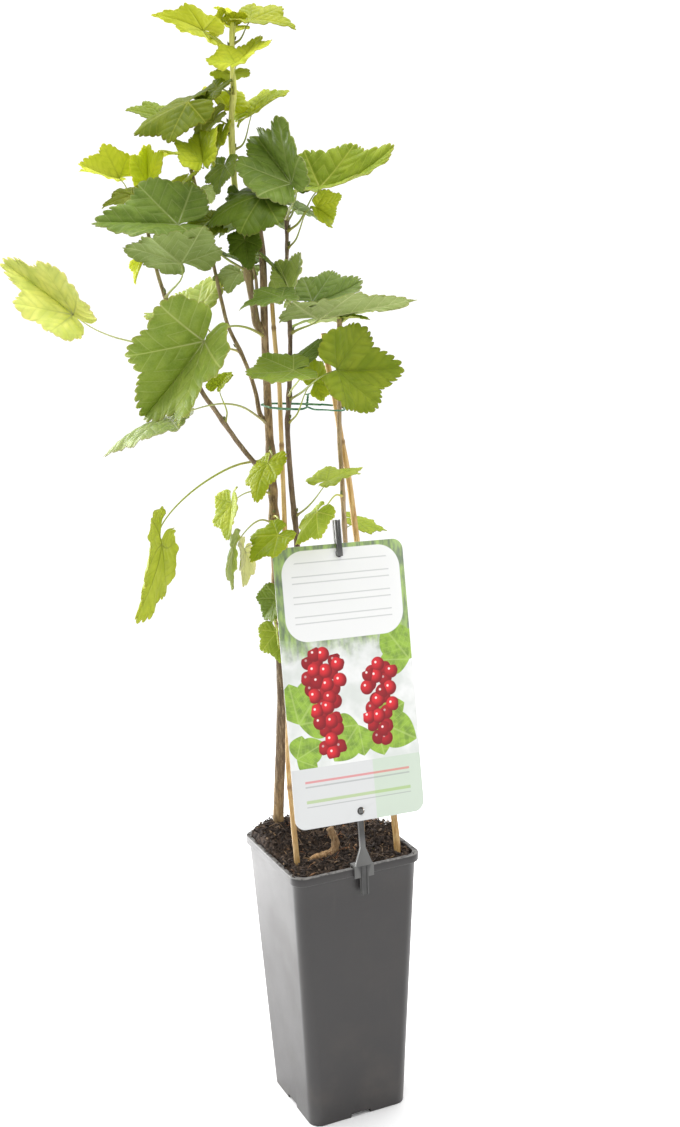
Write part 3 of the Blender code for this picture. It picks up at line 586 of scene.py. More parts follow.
@dataclass(frozen=True)
class BladeSheet:
    """The bent sheet that a blade follows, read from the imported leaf."""

    hub: np.ndarray
    terms: np.ndarray

    LEAST_EDGE = 1 * MM
    LEAST_SPOKE = 2.2 * MM

    @staticmethod
    def shape_terms(x: np.ndarray, y: np.ndarray) -> np.ndarray:
        """The shape terms at flat places: straight, drooping, and each half on its own."""
        left, right = np.maximum(y, 0), np.maximum(-y, 0)
        rows = [x, x * np.abs(x), left, right, x * left, x * right, left**2, right**2]
        return np.stack(rows, -1)

    @classmethod
    def read(cls, bm: BMesh) -> "BladeSheet":
        """Read the sheet from a leaf's welded mesh.

        The hub is the point where most edges meet. The fan of faces round it ends in the inner
        ring, and the faces across the fan's outer edges end in the outer ring. A stalk may hide
        the rings' ends, so the part of the rings that is found is tried at each place on them.

        Args:
            bm: the welded mesh of the leaf.

        Returns:
            The sheet.
        """
        hub = max(bm.verts, key=lambda vert: len(vert.link_edges))
        follows = {}
        for face in hub.link_faces:
            loops = [loop.vert for loop in face.loops]
            at = loops.index(hub)
            first, second = loops[(at + 1) % 3], loops[(at + 2) % 3]
            spans = ((first.co - second.co).length, (first.co - hub.co).length,
                     (second.co - hub.co).length)
            if spans[0] > cls.LEAST_EDGE and min(spans[1:]) > cls.LEAST_SPOKE:
                follows[first] = second
        inner = [next(vert for vert in follows if vert not in follows.values())]
        while inner[-1] in follows:
            inner.append(follows[inner[-1]])
        outer = [cls._across(bm, a, b, hub) for a, b in zip(inner, inner[1:])]
        outer.insert(0, cls._across(bm, inner[0], outer[0], inner[1]))
        places = np.array([vert.co - hub.co for vert in inner + outer])
        x, y = Outline.rays()
        fits = []
        for first in range(len(x) - len(inner) + 1):
            near, far = x[first : first + len(inner)], y[first : first + len(inner)]
            flat = np.concatenate([cls.shape_terms(near / 2, far / 2), cls.shape_terms(near, far)])
            terms = np.linalg.lstsq(flat, places, rcond=None)[0]
            fits.append((float(np.linalg.norm(flat @ terms - places)), first, terms))
        return cls(np.array(hub.co), min(fits)[2])

    @classmethod
    def posed(
        cls, hub: Vector, toward: Vector, facing: Vector, length: float, fold: float, droop: float
    ) -> "BladeSheet":
        """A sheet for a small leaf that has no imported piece.

        Args:
            hub: where the stalk meets the blade.
            toward: the midrib's direction.
            facing: the direction that the upper face looks in.
            length: the blade's length.
            fold: how far its halves are folded up, in radians.
            droop: how far its tip hangs, as a share of its length.

        Returns:
            The sheet.
        """
        side = facing.cross(toward).normalized()
        left = (side * cos(fold) + facing * sin(fold)) * length
        right = (-side * cos(fold) + facing * sin(fold)) * length
        down = -facing * droop * length
        rows = [toward * length, down, left, right, Vector(), Vector(), down, down]
        return cls(np.array(hub), np.array([tuple(row) for row in rows]))

    @staticmethod
    def _across(bm: BMesh, a: BMVert, b: BMVert, known: BMVert) -> BMVert:
        """The third corner of the face across an edge from a known corner."""
        corners = {vert for face in bm.edges.get((a, b)).link_faces for vert in face.verts}
        return (corners - {a, b, known}).pop()

    @property
    def length(self) -> float:
        """The blade's length along its midrib."""
        return float(np.linalg.norm(self.terms[0]))

    def at(self, x: np.ndarray, y: np.ndarray) -> np.ndarray:
        """Places on the sheet for flat places."""
        return self.hub + self.shape_terms(x, y) @ self.terms

    def normals(self, x: np.ndarray, y: np.ndarray) -> np.ndarray:
        """The sheet's normals, out of its upper face, for flat places.

        Args:
            x: places along the midrib.
            y: places to its left.

        Returns:
            The normals.
        """
        step = 0.03
        along = self.at(x + step, y) - self.at(x - step, y)
        leftward = self.at(x, y + step) - self.at(x, y - step)
        normal = np.cross(along, leftward)
        return normal / np.linalg.norm(normal, axis=-1, keepdims=True)


class Veins:
    """The veins of a currant leaf: five main ones from the hub, and side veins from each."""

    MAIN = tuple(radians(angle) for angle in (0, 50, 106))
    SPLITS = tuple(radians(angle) for angle in (26, 78))
    SIDE_VEINS = 7.0  # side veins on each side, for a vein as long as the leaf
    LEAN = 0.72
    ARCH = 0.3

    @classmethod
    def near(cls, x: np.ndarray, y: np.ndarray) -> tuple[np.ndarray, np.ndarray]:
        """The way along and across the nearest main vein for flat places.

        Args:
            x: places along the midrib.
            y: places to its left.

        Returns:
            How far each place is along the vein, and across it.
        """
        side = np.abs(y)
        turned = np.arctan2(side, x)
        pick = (turned > cls.SPLITS[0]).astype(int) + (turned > cls.SPLITS[1])
        angle = np.array(cls.MAIN)[pick]
        along = x * np.cos(angle) + side * np.sin(angle)
        return along, np.abs(side * np.cos(angle) - x * np.sin(angle))

    @classmethod
    def pillow(cls, x: np.ndarray, y: np.ndarray) -> np.ndarray:
        """How far the blade stands up between its veins, from 0 on a vein to 1.

        Args:
            x: places along the midrib.
            y: places to its left.

        Returns:
            The rise at each place.
        """
        along, across = cls.near(x, y)
        wave = (along - cls.LEAN * across + cls.ARCH * across**2) * cls.SIDE_VEINS
        beside = np.abs(wave - np.floor(wave) - 0.5) * 2
        side_rise = 1 - (1 - np.clip(beside, 0, 1)) ** 2
        main_rise = 1 - np.exp(-((across / 0.035) ** 2))
        return main_rise * (0.35 + 0.65 * side_rise)

    def __init__(self, shader: Shader) -> None:
        """Draw the same veins in a material.

        Args:
            shader: the material, on a piece with the flat coordinates of the leaf.
        """
        x, y = shader.uv("flat")
        side = abs(y)
        turned = shader.math("ARCTAN2", side, x)
        ways = [
            (
                x * cos(angle) + side * sin(angle),
                abs(side * cos(angle) - x * sin(angle)),
            )
            for angle in self.MAIN
        ]
        along, across = ways[0]
        for split, (next_along, next_across), (last_along, last_across) in zip(
            self.SPLITS, ways[1:], ways
        ):
            past = turned > split
            along = along + (next_along - last_along) * past
            across = across + (next_across - last_across) * past
        wave = (along - across * self.LEAN + across * across * self.ARCH) * self.SIDE_VEINS
        beside = abs(shader.math("FRACT", wave) - 0.5) * 2
        self.main = shader.step(across / (0.017 - along * 0.01), 0.35, 1.25, 1, 0)
        self.side = shader.step(beside, 0.03, 0.15, 1, 0) * shader.step(across, 0.3, 0.55, 1, 0.3)
        self.between = shader.step(beside, 0.0, 0.75)
        self.flat = shader.join(x, y)


class Age(Enum):
    """How old a leaf is, by the record's name for its finish."""

    YOUNG = "young_leaf"
    GROWN = "grown_leaf"
    OLD = "old_leaf"


class ToneAndLight(Enum):
    """How a leaf's green differs from the usual of its age, partly its own colour and partly
    painted light and shade: factors of red, green and blue.
    """

    PLAIN = (1.07, 1.07, 1.05)
    LIME = (1.28, 1.2, 0.3)
    GOLD = (1.5, 1.4, 0.46)
    SHARP = (1.04, 1.03, 0.4)
    OLIVE = (0.8, 0.76, 0.24)
    # MOSS and DIM are partly painted shade: darker copies of the green, for leaves that sit in the
    # crown's shade.
    MOSS = (0.57, 0.62, 0.28)
    DIM = (0.8, 0.84, 0.6)
    WARM = (1.33, 1.25, 0.72)
    CLEAR = (1.28, 1.24, 1.17)
    COOL = (1.12, 1.1, 1.7)
    # PALE, SILVER and MILKY are partly a painted sheen: paler, bluer copies of the green.
    PALE = (1.7, 1.5, 1.8)
    SILVER = (2.2, 1.9, 2.9)
    MILKY = (1.6, 1.44, 2.9)
    BRIGHT = (1.93, 1.74, 1.12)


@dataclass
class LeafSkin(Finish):
    """One face of a leaf: matt tissue with paler veins, that lets some light through."""

    tissue: Colour
    shade: Colour
    vein: Colour
    glow: Colour
    rim: Colour
    vein_share: float
    through: float
    gloss: float
    raised: float = 1.0

    NET_SCALE = 34.0
    PATCH_SCALE = 60.0
    DEPTH = 0.28 * MM
    RELIEF = 0.55

    def paint(self) -> None:
        """Set the surface of the material."""
        shader = self.shader
        veins = Veins(shader)
        place = self.place
        tint, edge = shader.attribute("tint", "Vector"), shader.attribute("edge")
        patch = shader.noise(place, self.PATCH_SCALE, 4)
        net = shader.step(shader.cells(veins.flat, self.NET_SCALE), 0.0, 0.16, 1, 0)
        ribs = shader.math("MAXIMUM", veins.main, veins.side * 0.62)
        drawn = shader.math("MAXIMUM", ribs, net * 0.22)
        colour = shader.blend(shader.step(patch, 0.32, 0.68), self.shade, self.tissue)
        # Painted shade: the blade is darkened towards its shade colour along the sunken side veins,
        # where the quilted blade dips.
        colour = shader.blend((1 - veins.between) * 0.3, colour, self.shade)
        colour = shader.blend(drawn * self.vein_share, colour, self.vein)
        colour = shader.blend(shader.step(edge, 0.955, 1.0) * 0.55, colour, self.rim)
        # Each leaf's tint holds its own tone and its painted light and shade.
        colour = shader.blend(1.0, colour, tint, "MULTIPLY")
        glow = shader.blend(drawn * 0.35, self.glow, self.shade)
        glow = shader.blend(1.0, glow, tint, "MULTIPLY")
        height = veins.between * 0.8 - ribs * 0.5 + patch * 0.25
        grain = shader.noise(place, 900, 2)
        shader.finish(
            Base_Color=colour,
            Roughness=shader.step(grain, 0.2, 0.8, self.gloss - 0.07, self.gloss + 0.07),
            Specular_IOR_Level=0.11,
            Normal=shader.bump(height * self.raised, self.DEPTH, self.RELIEF),
        )
        shader.let_light_through(glow, self.through)


@dataclass
class StalkSkin(Finish):
    """The smooth green skin of a leaf's stalk, redder towards its foot."""

    name: str = "leaf_stalk"
    green: Colour = (0.33, 0.38, 0.085)
    foot: Colour = (0.3, 0.26, 0.09)

    def paint(self) -> None:
        """Set the surface of the material."""
        shader = self.shader
        share, grain = shader.attribute("share"), shader.noise(self.place, 350, 3)
        colour = shader.blend(shader.step(share, 0.0, 0.35), self.foot, self.green)
        colour = shader.blend(grain * 0.5, colour, (0.42, 0.45, 0.14))
        tint = shader.attribute("tint", "Vector")
        shader.finish(
            Base_Color=shader.blend(0.6, colour, shader.blend(1.0, colour, tint, "MULTIPLY")),
            Roughness=shader.step(grain, 0.2, 0.8, 0.38, 0.55),
            Normal=shader.bump(grain, 0.15 * MM),
        )


@dataclass(frozen=True)
class LeafCut:
    """How finely a blade is cut into faces."""

    rows: int
    teeth: int

    PADDING = 0.01

    def blank(self, columns: int) -> Mesh:
        """A closed flat blade whose points know their row, column and face.

        Args:
            columns: faces round the edge.

        Returns:
            The mesh, with the seat and upper attributes.
        """
        name = f"blank_{self.rows}_{columns}"
        if name in bpy.data.meshes:
            return bpy.data.meshes[name]
        bm = bmesh.new()
        seat = bm.verts.layers.int.new("seat")
        upper = bm.verts.layers.int.new("upper")
        bmesh.ops.create_grid(bm, x_segments=self.rows, y_segments=columns, size=1)
        for vert in bm.verts:
            row = round((vert.co.x + 1) / 2 * self.rows)
            column = round((vert.co.y + 1) / 2 * columns)
            vert[seat] = row * (columns + 1) + column
            angle = radians(Outline.ANGLES[-1]) * vert.co.y
            reach = row / self.rows
            vert.co = (reach * cos(angle), reach * sin(angle), 0)
        for face in bm.faces:
            face.material_index = 1
        grown = bmesh.ops.extrude_face_region(bm, geom=bm.faces[:], use_keep_orig=True)["geom"]
        for item in grown:
            if isinstance(item, BMVert):
                item.co.z = self.PADDING
                item[upper] = 1
            elif isinstance(item, BMFace):
                item.material_index = 0
        bmesh.ops.remove_doubles(bm, verts=bm.verts, dist=self.PADDING / 100)
        bmesh.ops.recalc_face_normals(bm, faces=bm.faces)
        mesh = as_mesh(bm)
        mesh.name = name
        return mesh


@dataclass
class Leaf:
    """One leaf: a lobed, toothed blade with its raised midrib, and its round stalk."""

    name: str
    age: Age
    tint: Colour
    number: int
    sheet: BladeSheet | None = None
    stalk: TubePath | None = None
    packed: bool = True

    THICKNESS = 0.38 * MM
    LONG = 48 * MM
    FINE = LeafCut(20, 41)
    COARSE = LeafCut(14, 33)
    TOOTH_SHARE = 7
    WAVES = ((0.026, 2, 5), (0.015, 4, 13), (0.009, 5, 23))  # height, power and count round
    PILLOW = 0.024
    MIDRIB = 0.78
    SIDE_RIB = 0.58
    STALK_SUNK = 1.2 * MM
    STALK_BELOW = 0.7 * MM
    FOOT_SWELL = 0.75
    FOOT_REACH = 2.2 * MM
    CURL = 0.02
    RIBS = tuple(radians(angle) for angle in (0, 50, -50, 106, -106))

    def read(self) -> None:
        """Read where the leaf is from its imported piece."""
        bm = welded_copy(f"leaf_{self.name}")
        self.sheet = BladeSheet.read(bm)
        hub = Vector(self.sheet.hub)
        self.stalk = TubePath.read(bm, STALK_SIDES, lambda place: -(place - hub).length)
        bm.free()

    def lift(self, x: np.ndarray, y: np.ndarray, share: np.ndarray) -> np.ndarray:
        """How far the blade stands off its sheet: waves, a frilled edge, and its pillows.

        Args:
            x: places along the midrib.
            y: places to its left.
            share: how far out each place is, from 0 to 1 at the edge.

        Returns:
            The distances.
        """
        rng = np.random.default_rng(self.number)
        angle = np.arctan2(y, x)
        turn = rng.uniform(0, 6, 3)
        waves = (
            high * share**power * np.sin(count * angle + start)
            for (high, power, count), start in zip(self.WAVES, turn)
        )
        pillow = self.PILLOW * Veins.pillow(x, y) * (1 - share**6) * np.clip(share * 5, 0, 1)
        return (sum(waves) + pillow - self.CURL * share**9) * self.sheet.length

    def blade(self) -> BMesh:
        """Grow the blade on its sheet.

        Returns:
            The blade with its attributes.
        """
        sheet = self.sheet
        cut = self.FINE if sheet.length > self.LONG else self.COARSE
        outline = Outline(np.random.default_rng(100 + self.number), cut.teeth)
        steps = np.arange(cut.rows + 1) / cut.rows
        share = (1 - (1 - steps) ** 1.2)[:, None] * np.ones(outline.columns + 1)
        bite = 1 - (1 - outline.bite) * share**self.TOOTH_SHARE
        reach = outline.reach * bite * share
        x, y = reach * np.cos(outline.angles), reach * np.sin(outline.angles)
        normals = sheet.normals(x, y)
        top = sheet.at(x, y) + normals * self.lift(x, y, share)[..., None]
        floor = top - normals * self.THICKNESS
        mesh = cut.blank(outline.columns).copy()
        count = len(mesh.vertices)
        seat, upper = np.empty(count, int), np.empty(count, int)
        mesh.attributes["seat"].data.foreach_get("value", seat)
        mesh.attributes["upper"].data.foreach_get("value", upper)
        top, floor = top.reshape(-1, 3)[seat], floor.reshape(-1, 3)[seat]
        places = np.where(upper[:, None] == 1, top, floor)
        mesh.vertices.foreach_set("co", places.astype(np.float32).ravel())
        edge = mesh.attributes.new("edge", "FLOAT", "POINT")
        edge.data.foreach_set("value", share.ravel()[seat].astype(np.float32))
        corners = np.empty(len(mesh.loops), int)
        mesh.loops.foreach_get("vertex_index", corners)
        flat = np.stack([x.ravel(), y.ravel()], 1)[seat][corners]
        layer = mesh.uv_layers.new(name="flat", do_init=False)
        layer.uv.foreach_set("vector", flat.astype(np.float32).ravel())
        bm = bmesh.new()
        bm.from_mesh(mesh)
        bpy.data.meshes.remove(mesh)
        return bm

    def ribs(self, bm: BMesh) -> None:
        """Add the raised main veins under the blade.

        Args:
            bm: the blade.
        """
        for angle in self.RIBS:
            reach = np.linspace(0.01, self.MIDRIB if angle == 0 else self.SIDE_RIB, 9)
            x, y = reach * cos(angle), reach * sin(angle)
            normals = self.sheet.normals(x, y)
            share = reach / np.interp(abs(degrees(angle)), Outline.ANGLES, Outline.REACHES)
            under = self.lift(x, y, share) - self.THICKNESS
            places = self.sheet.at(x, y) + normals * under[:, None]
            thick = (0.2 + 0.007 * self.sheet.length / MM) * MM
            radii = [thick * (1 - 0.85 * k / 8) for k in range(9)]
            TubePath([Vector(place) for place in places], radii).build(bm, 5, material=1)

    def grow(self, finishes: Sequence[Material]) -> Object:
        """Build the whole leaf.

        Args:
            finishes: the upper, lower and stalk materials.

        Returns:
            The finished piece.
        """
        bm = self.blade()
        self.ribs(bm)
        stalk = TubePath(self.stalk.points[:], self.stalk.radii[:])
        toward = (stalk.points[1] - stalk.points[0]).normalized()
        stalk.points[0] = stalk.points[0] - toward * self.STALK_SUNK
        normal = Vector(self.sheet.normals(np.zeros(1), np.zeros(1))[0])
        stalk.points.append(Vector(self.sheet.hub) - normal * self.STALK_BELOW)
        stalk.radii.append(stalk.radii[-1] * 0.95)
        fine = stalk.smooth(1.6 * MM)
        fine.radii = [
            radius * (0.92 + self.FOOT_SWELL * exp(-((far / self.FOOT_REACH) ** 2)))
            for radius, far in zip(fine.radii, fine.lengths())
        ]
        fine.build(bm, 8, material=2)
        name = f"currant_leaf_{self.name}"
        nodes = (f"leaf_{self.name}",) if self.packed else ()
        piece = Piece(name, self.age.value, nodes).set_down(bm, finishes)
        tint = piece.data.attributes.new("tint", "FLOAT_VECTOR", "POINT")
        tint.data.foreach_set("vector", np.tile(self.tint, len(piece.data.vertices)))
        return piece


@dataclass
class BarkSkin(Finish):
    """Bark that changes from the foot of a stem to its tip, streaked along the grain."""

    stops: Stops
    furrow: Colour
    fleck: Colour
    streaks: float = 0.75
    mottle: float = 0.45
    rough: float = 0.82
    depth: float = 0.7 * MM

    def paint(self) -> None:
        """Set the surface of the material."""
        shader = self.shader
        place, share = self.place, shader.attribute("share")
        grained = shader.scaled(place, (1.0, 1.0, 0.16))
        streak = shader.noise(grained, 620, 5, 0.65)
        cloud = shader.noise(shader.scaled(place, (1.0, 1.0, 0.45)), 110, 4, 0.65)
        fleck = shader.cells(shader.scaled(place, (1.0, 1.0, 0.5)), 420, "F1")
        colour = shader.ramp(share, self.stops)
        colour = shader.blend(shader.step(cloud, 0.38, 0.62) * self.mottle, colour, self.furrow)
        dark = shader.step(streak, 0.5, 0.66) * self.streaks
        colour = shader.blend(dark, colour, self.furrow)
        pale = shader.step(streak, 0.47, 0.36) * self.streaks * 0.6
        colour = shader.blend(pale, colour, self.fleck)
        colour = shader.blend(shader.step(fleck, 0.2, 0.08) * 0.5, colour, self.fleck)
        shader.finish(Base_Color=colour,
                      Roughness=shader.step(streak, 0.3, 0.7, self.rough - 0.12, self.rough + 0.1),
                      Specular_IOR_Level=0.35, Normal=shader.bump(1 - streak, self.depth))


@dataclass
class CaneSkin(Finish):
    """The hard golden skin of a bamboo cane, stained at its joints."""

    name: str = "cane_skin"
    golden: Colour = (0.47, 0.265, 0.07)
    pale: Colour = (0.68, 0.48, 0.205)
    stain: Colour = (0.17, 0.08, 0.028)

    # Where the cane darkens towards its foot, along it.
    LOW_DARK_SPAN = (60 * MM, 240 * MM)

    def paint(self) -> None:
        """Set the surface of the material."""
        shader = self.shader
        place, along = self.place, shader.attribute("along")
        fibre = shader.noise(shader.scaled(place, (1.0, 1.0, 0.03)), 900, 4, 0.6)
        cloud = shader.noise(shader.scaled(place, (1.0, 1.0, 0.3)), 130, 3)
        joint = abs(shader.math("FRACT", along / Cane.JOINT_SPACING + Cane.JOINT_START) - 0.5)
        colour = shader.blend(shader.step(fibre, 0.35, 0.65), self.golden, self.pale)
        colour = shader.blend(shader.step(fibre, 0.36, 0.28) * 0.7, colour, self.stain)
        colour = shader.blend(shader.step(cloud, 0.52, 0.75) * 0.55, colour, self.stain)
        colour = shader.blend(shader.step(joint, 0.045, 0.0) * 0.75, colour, self.stain)
        # Darker towards the foot: the stain colour is blended in at 0.38 up to 60 mm along, fading
        # out by 240 mm.
        low_dark = shader.step(along, self.LOW_DARK_SPAN[0], self.LOW_DARK_SPAN[1], 0.38, 0.0)
        colour = shader.blend(low_dark, colour, self.stain)
        shader.finish(Base_Color=colour, Roughness=shader.step(fibre, 0.3, 0.7, 0.34, 0.52),
                      Normal=shader.bump(fibre, 0.18 * MM))


@dataclass
class Wood:
    """A woody stem with knobbly bark, swollen nodes and a bud above each leaf."""

    node: str
    slot: str
    knobbly: float = 0.07
    sides: int = 14
    step: float = 2.2 * MM
    path: TubePath | None = None

    FROM = 1  # the end that its path is read from: 1 for the lower one, and -1 for the upper
    JOIN_DROP = 7 * MM
    COLLAR = 1.12
    NODE_REACH = 3.2 * MM
    NODE_SWELL = 0.2
    MOST_SWELL = 1.35
    TAKES_LEAF = 9 * MM
    BUD_RADII = (0.3, 0.95, 1.15, 0.9, 0.5, 0.12)
    BUD_LENGTH = 4.2 * MM
    BUD_ABOVE = 1.6 * MM

    def read(self) -> None:
        """Read the stem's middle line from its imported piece."""
        bm = welded_copy(self.node)
        self.path = TubePath.read(bm, STEM_SIDES, lambda place: self.FROM * place.z)
        bm.free()

    def join_to(self, parent: "Wood") -> None:
        """Start the stem inside the stem that bears it, with a collar where it comes out.

        Args:
            parent: the stem that bears it.
        """
        foot = self.path.points[0]
        fine = parent.path.smooth(3 * MM).points
        start = min(fine, key=lambda point: (point - foot + UP * self.JOIN_DROP).length)
        self.path.points.insert(0, start)
        self.path.radii.insert(0, self.path.radii[0] * 0.9)
        self.path.radii[1] *= self.COLLAR

    def distance(self, place: Vector) -> float:
        """How far a place is from the stem's middle line."""
        fine = self.path.smooth(4 * MM).points
        return min((point - place).length for point in fine)

    def grow(self, feet: Iterable[Vector], finishes: Sequence[Material]) -> None:
        """Build the stem.

        Args:
            feet: where the stalks of its own leaves join it.
            finishes: the bark's and the buds' materials.
        """
        feet = list(feet)
        fine = self.path.smooth(self.step)
        swells = [
            1 + sum(
                self.NODE_SWELL * exp(-(((foot - point).length - radius) / self.NODE_REACH) ** 2)
                for foot in feet
                if (foot - point).length < self.TAKES_LEAF
            )
            for point, radius in zip(fine.points, fine.radii)
        ]

        def relief(place: Vector, _along: float, ring: int) -> float:
            """The bark's lumps and the swelling at each leaf."""
            long_lump = noise.noise(Vector((place.x * 260, place.y * 260, place.z * 42)))
            lump = noise.noise(place * 330)
            return min(swells[ring], self.MOST_SWELL) + self.knobbly * (long_lump + 0.6 * lump)

        bm = bmesh.new()
        fine.build(bm, self.sides, relief)
        for foot in feet:
            self.add_bud(bm, foot)
        Piece(f"wood_{self.node}", self.slot, (self.node,)).set_down(bm, finishes)

    def add_bud(self, bm: BMesh, foot: Vector) -> None:
        """Add the bud that sits in the corner above a leaf's stalk.

        Args:
            bm: the stem.
            foot: where the stalk joins it.
        """
        fine = self.path.smooth(self.step)
        near = min(range(len(fine.points)), key=lambda k: (fine.points[k] - foot).length)
        near = min(max(near, 1), len(fine.points) - 2)
        grain = (fine.points[near + 1] - fine.points[near - 1]).normalized()
        out = foot - fine.points[near]
        out = (out - grain * out.dot(grain)).normalized()
        start = fine.points[near] + out * fine.radii[near] * 0.8 + grain * self.BUD_ABOVE
        toward = (grain + out * 0.55).normalized()
        count = len(self.BUD_RADII) - 1
        points = [start + toward * self.BUD_LENGTH * k / count for k in range(count + 1)]
        radii = [radius * MM for radius in self.BUD_RADII]
        TubePath(points, radii).build(bm, 7, material=1)


@dataclass
class Cane(Wood):
    """A bamboo cane: smooth, with a swollen ring at each joint and a hollow end."""

    knobbly: float = 0.02

    JOINT_SPACING = 92 * MM
    JOINT_START = 0.27
    RING = 0.16
    GROOVE = 0.1
    RING_WIDTH = 1.5 * MM
    WALL = 0.55 * MM
    HOLLOW = 2.5 * MM

    def grow(self, feet: Iterable[Vector], finishes: Sequence[Material]) -> None:
        """Build the cane.

        Args:
            feet: not used, as a cane bears no leaves.
            finishes: the skin's material.
        """

        def relief(place: Vector, along: float, _ring: int) -> float:
            """The cane's joints and its slight unevenness."""
            turn = along / self.JOINT_SPACING + self.JOINT_START
            off = (turn % 1 - 0.5) * self.JOINT_SPACING / self.RING_WIDTH
            ring = self.RING * exp(-(off**2)) - self.GROOVE * exp(-((off - 1.8) ** 2))
            return 1 + ring + self.knobbly * noise.noise(place * 150)

        bm = bmesh.new()
        fine = self.path.smooth(1.3 * MM)
        fine.build(bm, self.sides, relief)
        top = max(bm.faces, key=lambda face: face.calc_center_median().z)
        bmesh.ops.inset_region(bm, faces=[top], thickness=self.WALL)
        pushed = bmesh.ops.extrude_face_region(bm, geom=[top])["geom"]
        bmesh.ops.delete(bm, geom=[top], context="FACES_ONLY")
        bmesh.ops.translate(bm, verts=moved(pushed, BMVert), vec=(0, 0, -self.HOLLOW))
        Piece(f"cane_{self.node}", self.slot, (self.node,)).set_down(bm, finishes)


@dataclass
class PotPlastic(Finish):
    """The pot's dull dark plastic, dusty, scuffed along its lip and flecked with dried mud."""

    name: str = "nursery_pot_plastic"
    rim: float = POT_TOP
    lip: float = POT_TOP
    base: Colour = (0.0265, 0.0242, 0.0242)
    dust: Colour = (0.08, 0.066, 0.054)
    worn: Colour = (0.19, 0.184, 0.176)
    mud: Colour = (0.022, 0.015, 0.01)

    WEAR = 1.0 * MM

    def paint(self) -> None:
        """Set the surface of the material."""
        shader = self.shader
        place = self.place
        level = shader.height()
        wear = shader.step(level, self.rim - self.WEAR, self.rim - self.WEAR / 4)
        wear = wear + shader.step(abs(level - self.lip), 0.0, self.WEAR, 0.35, 0.0)
        cloud = shader.noise(place, 26, 4)
        streak = shader.noise(shader.scaled(place, (1.0, 1.0, 0.1)), 160, 4)
        grain = shader.noise(place, 2600, 2)
        speck = shader.noise(place, 520, 2)
        low = shader.step(level, self.lip * 0.45, 0.0)
        dusty = shader.step(cloud, 0.42, 0.8) * (0.12 + low * 0.3)
        colour = shader.blend(dusty, self.base, self.dust)
        colour = shader.blend(shader.step(streak, 0.6, 0.8) * 0.14, colour, self.dust)
        colour = shader.blend(shader.step(speck, 0.73, 0.78) * 0.7, colour, self.mud)
        scuffed = wear * shader.step(shader.noise(place, 240, 4), 0.34, 0.62)
        colour = shader.blend(scuffed * 0.8, colour, self.worn)
        rough = shader.step(cloud, 0.3, 0.8, 0.33, 0.42) + scuffed * 0.12
        shader.finish(Base_Color=colour, Roughness=rough, Specular_IOR_Level=0.5,
                      Normal=shader.bump(grain + speck * 0.5, 0.05 * MM))


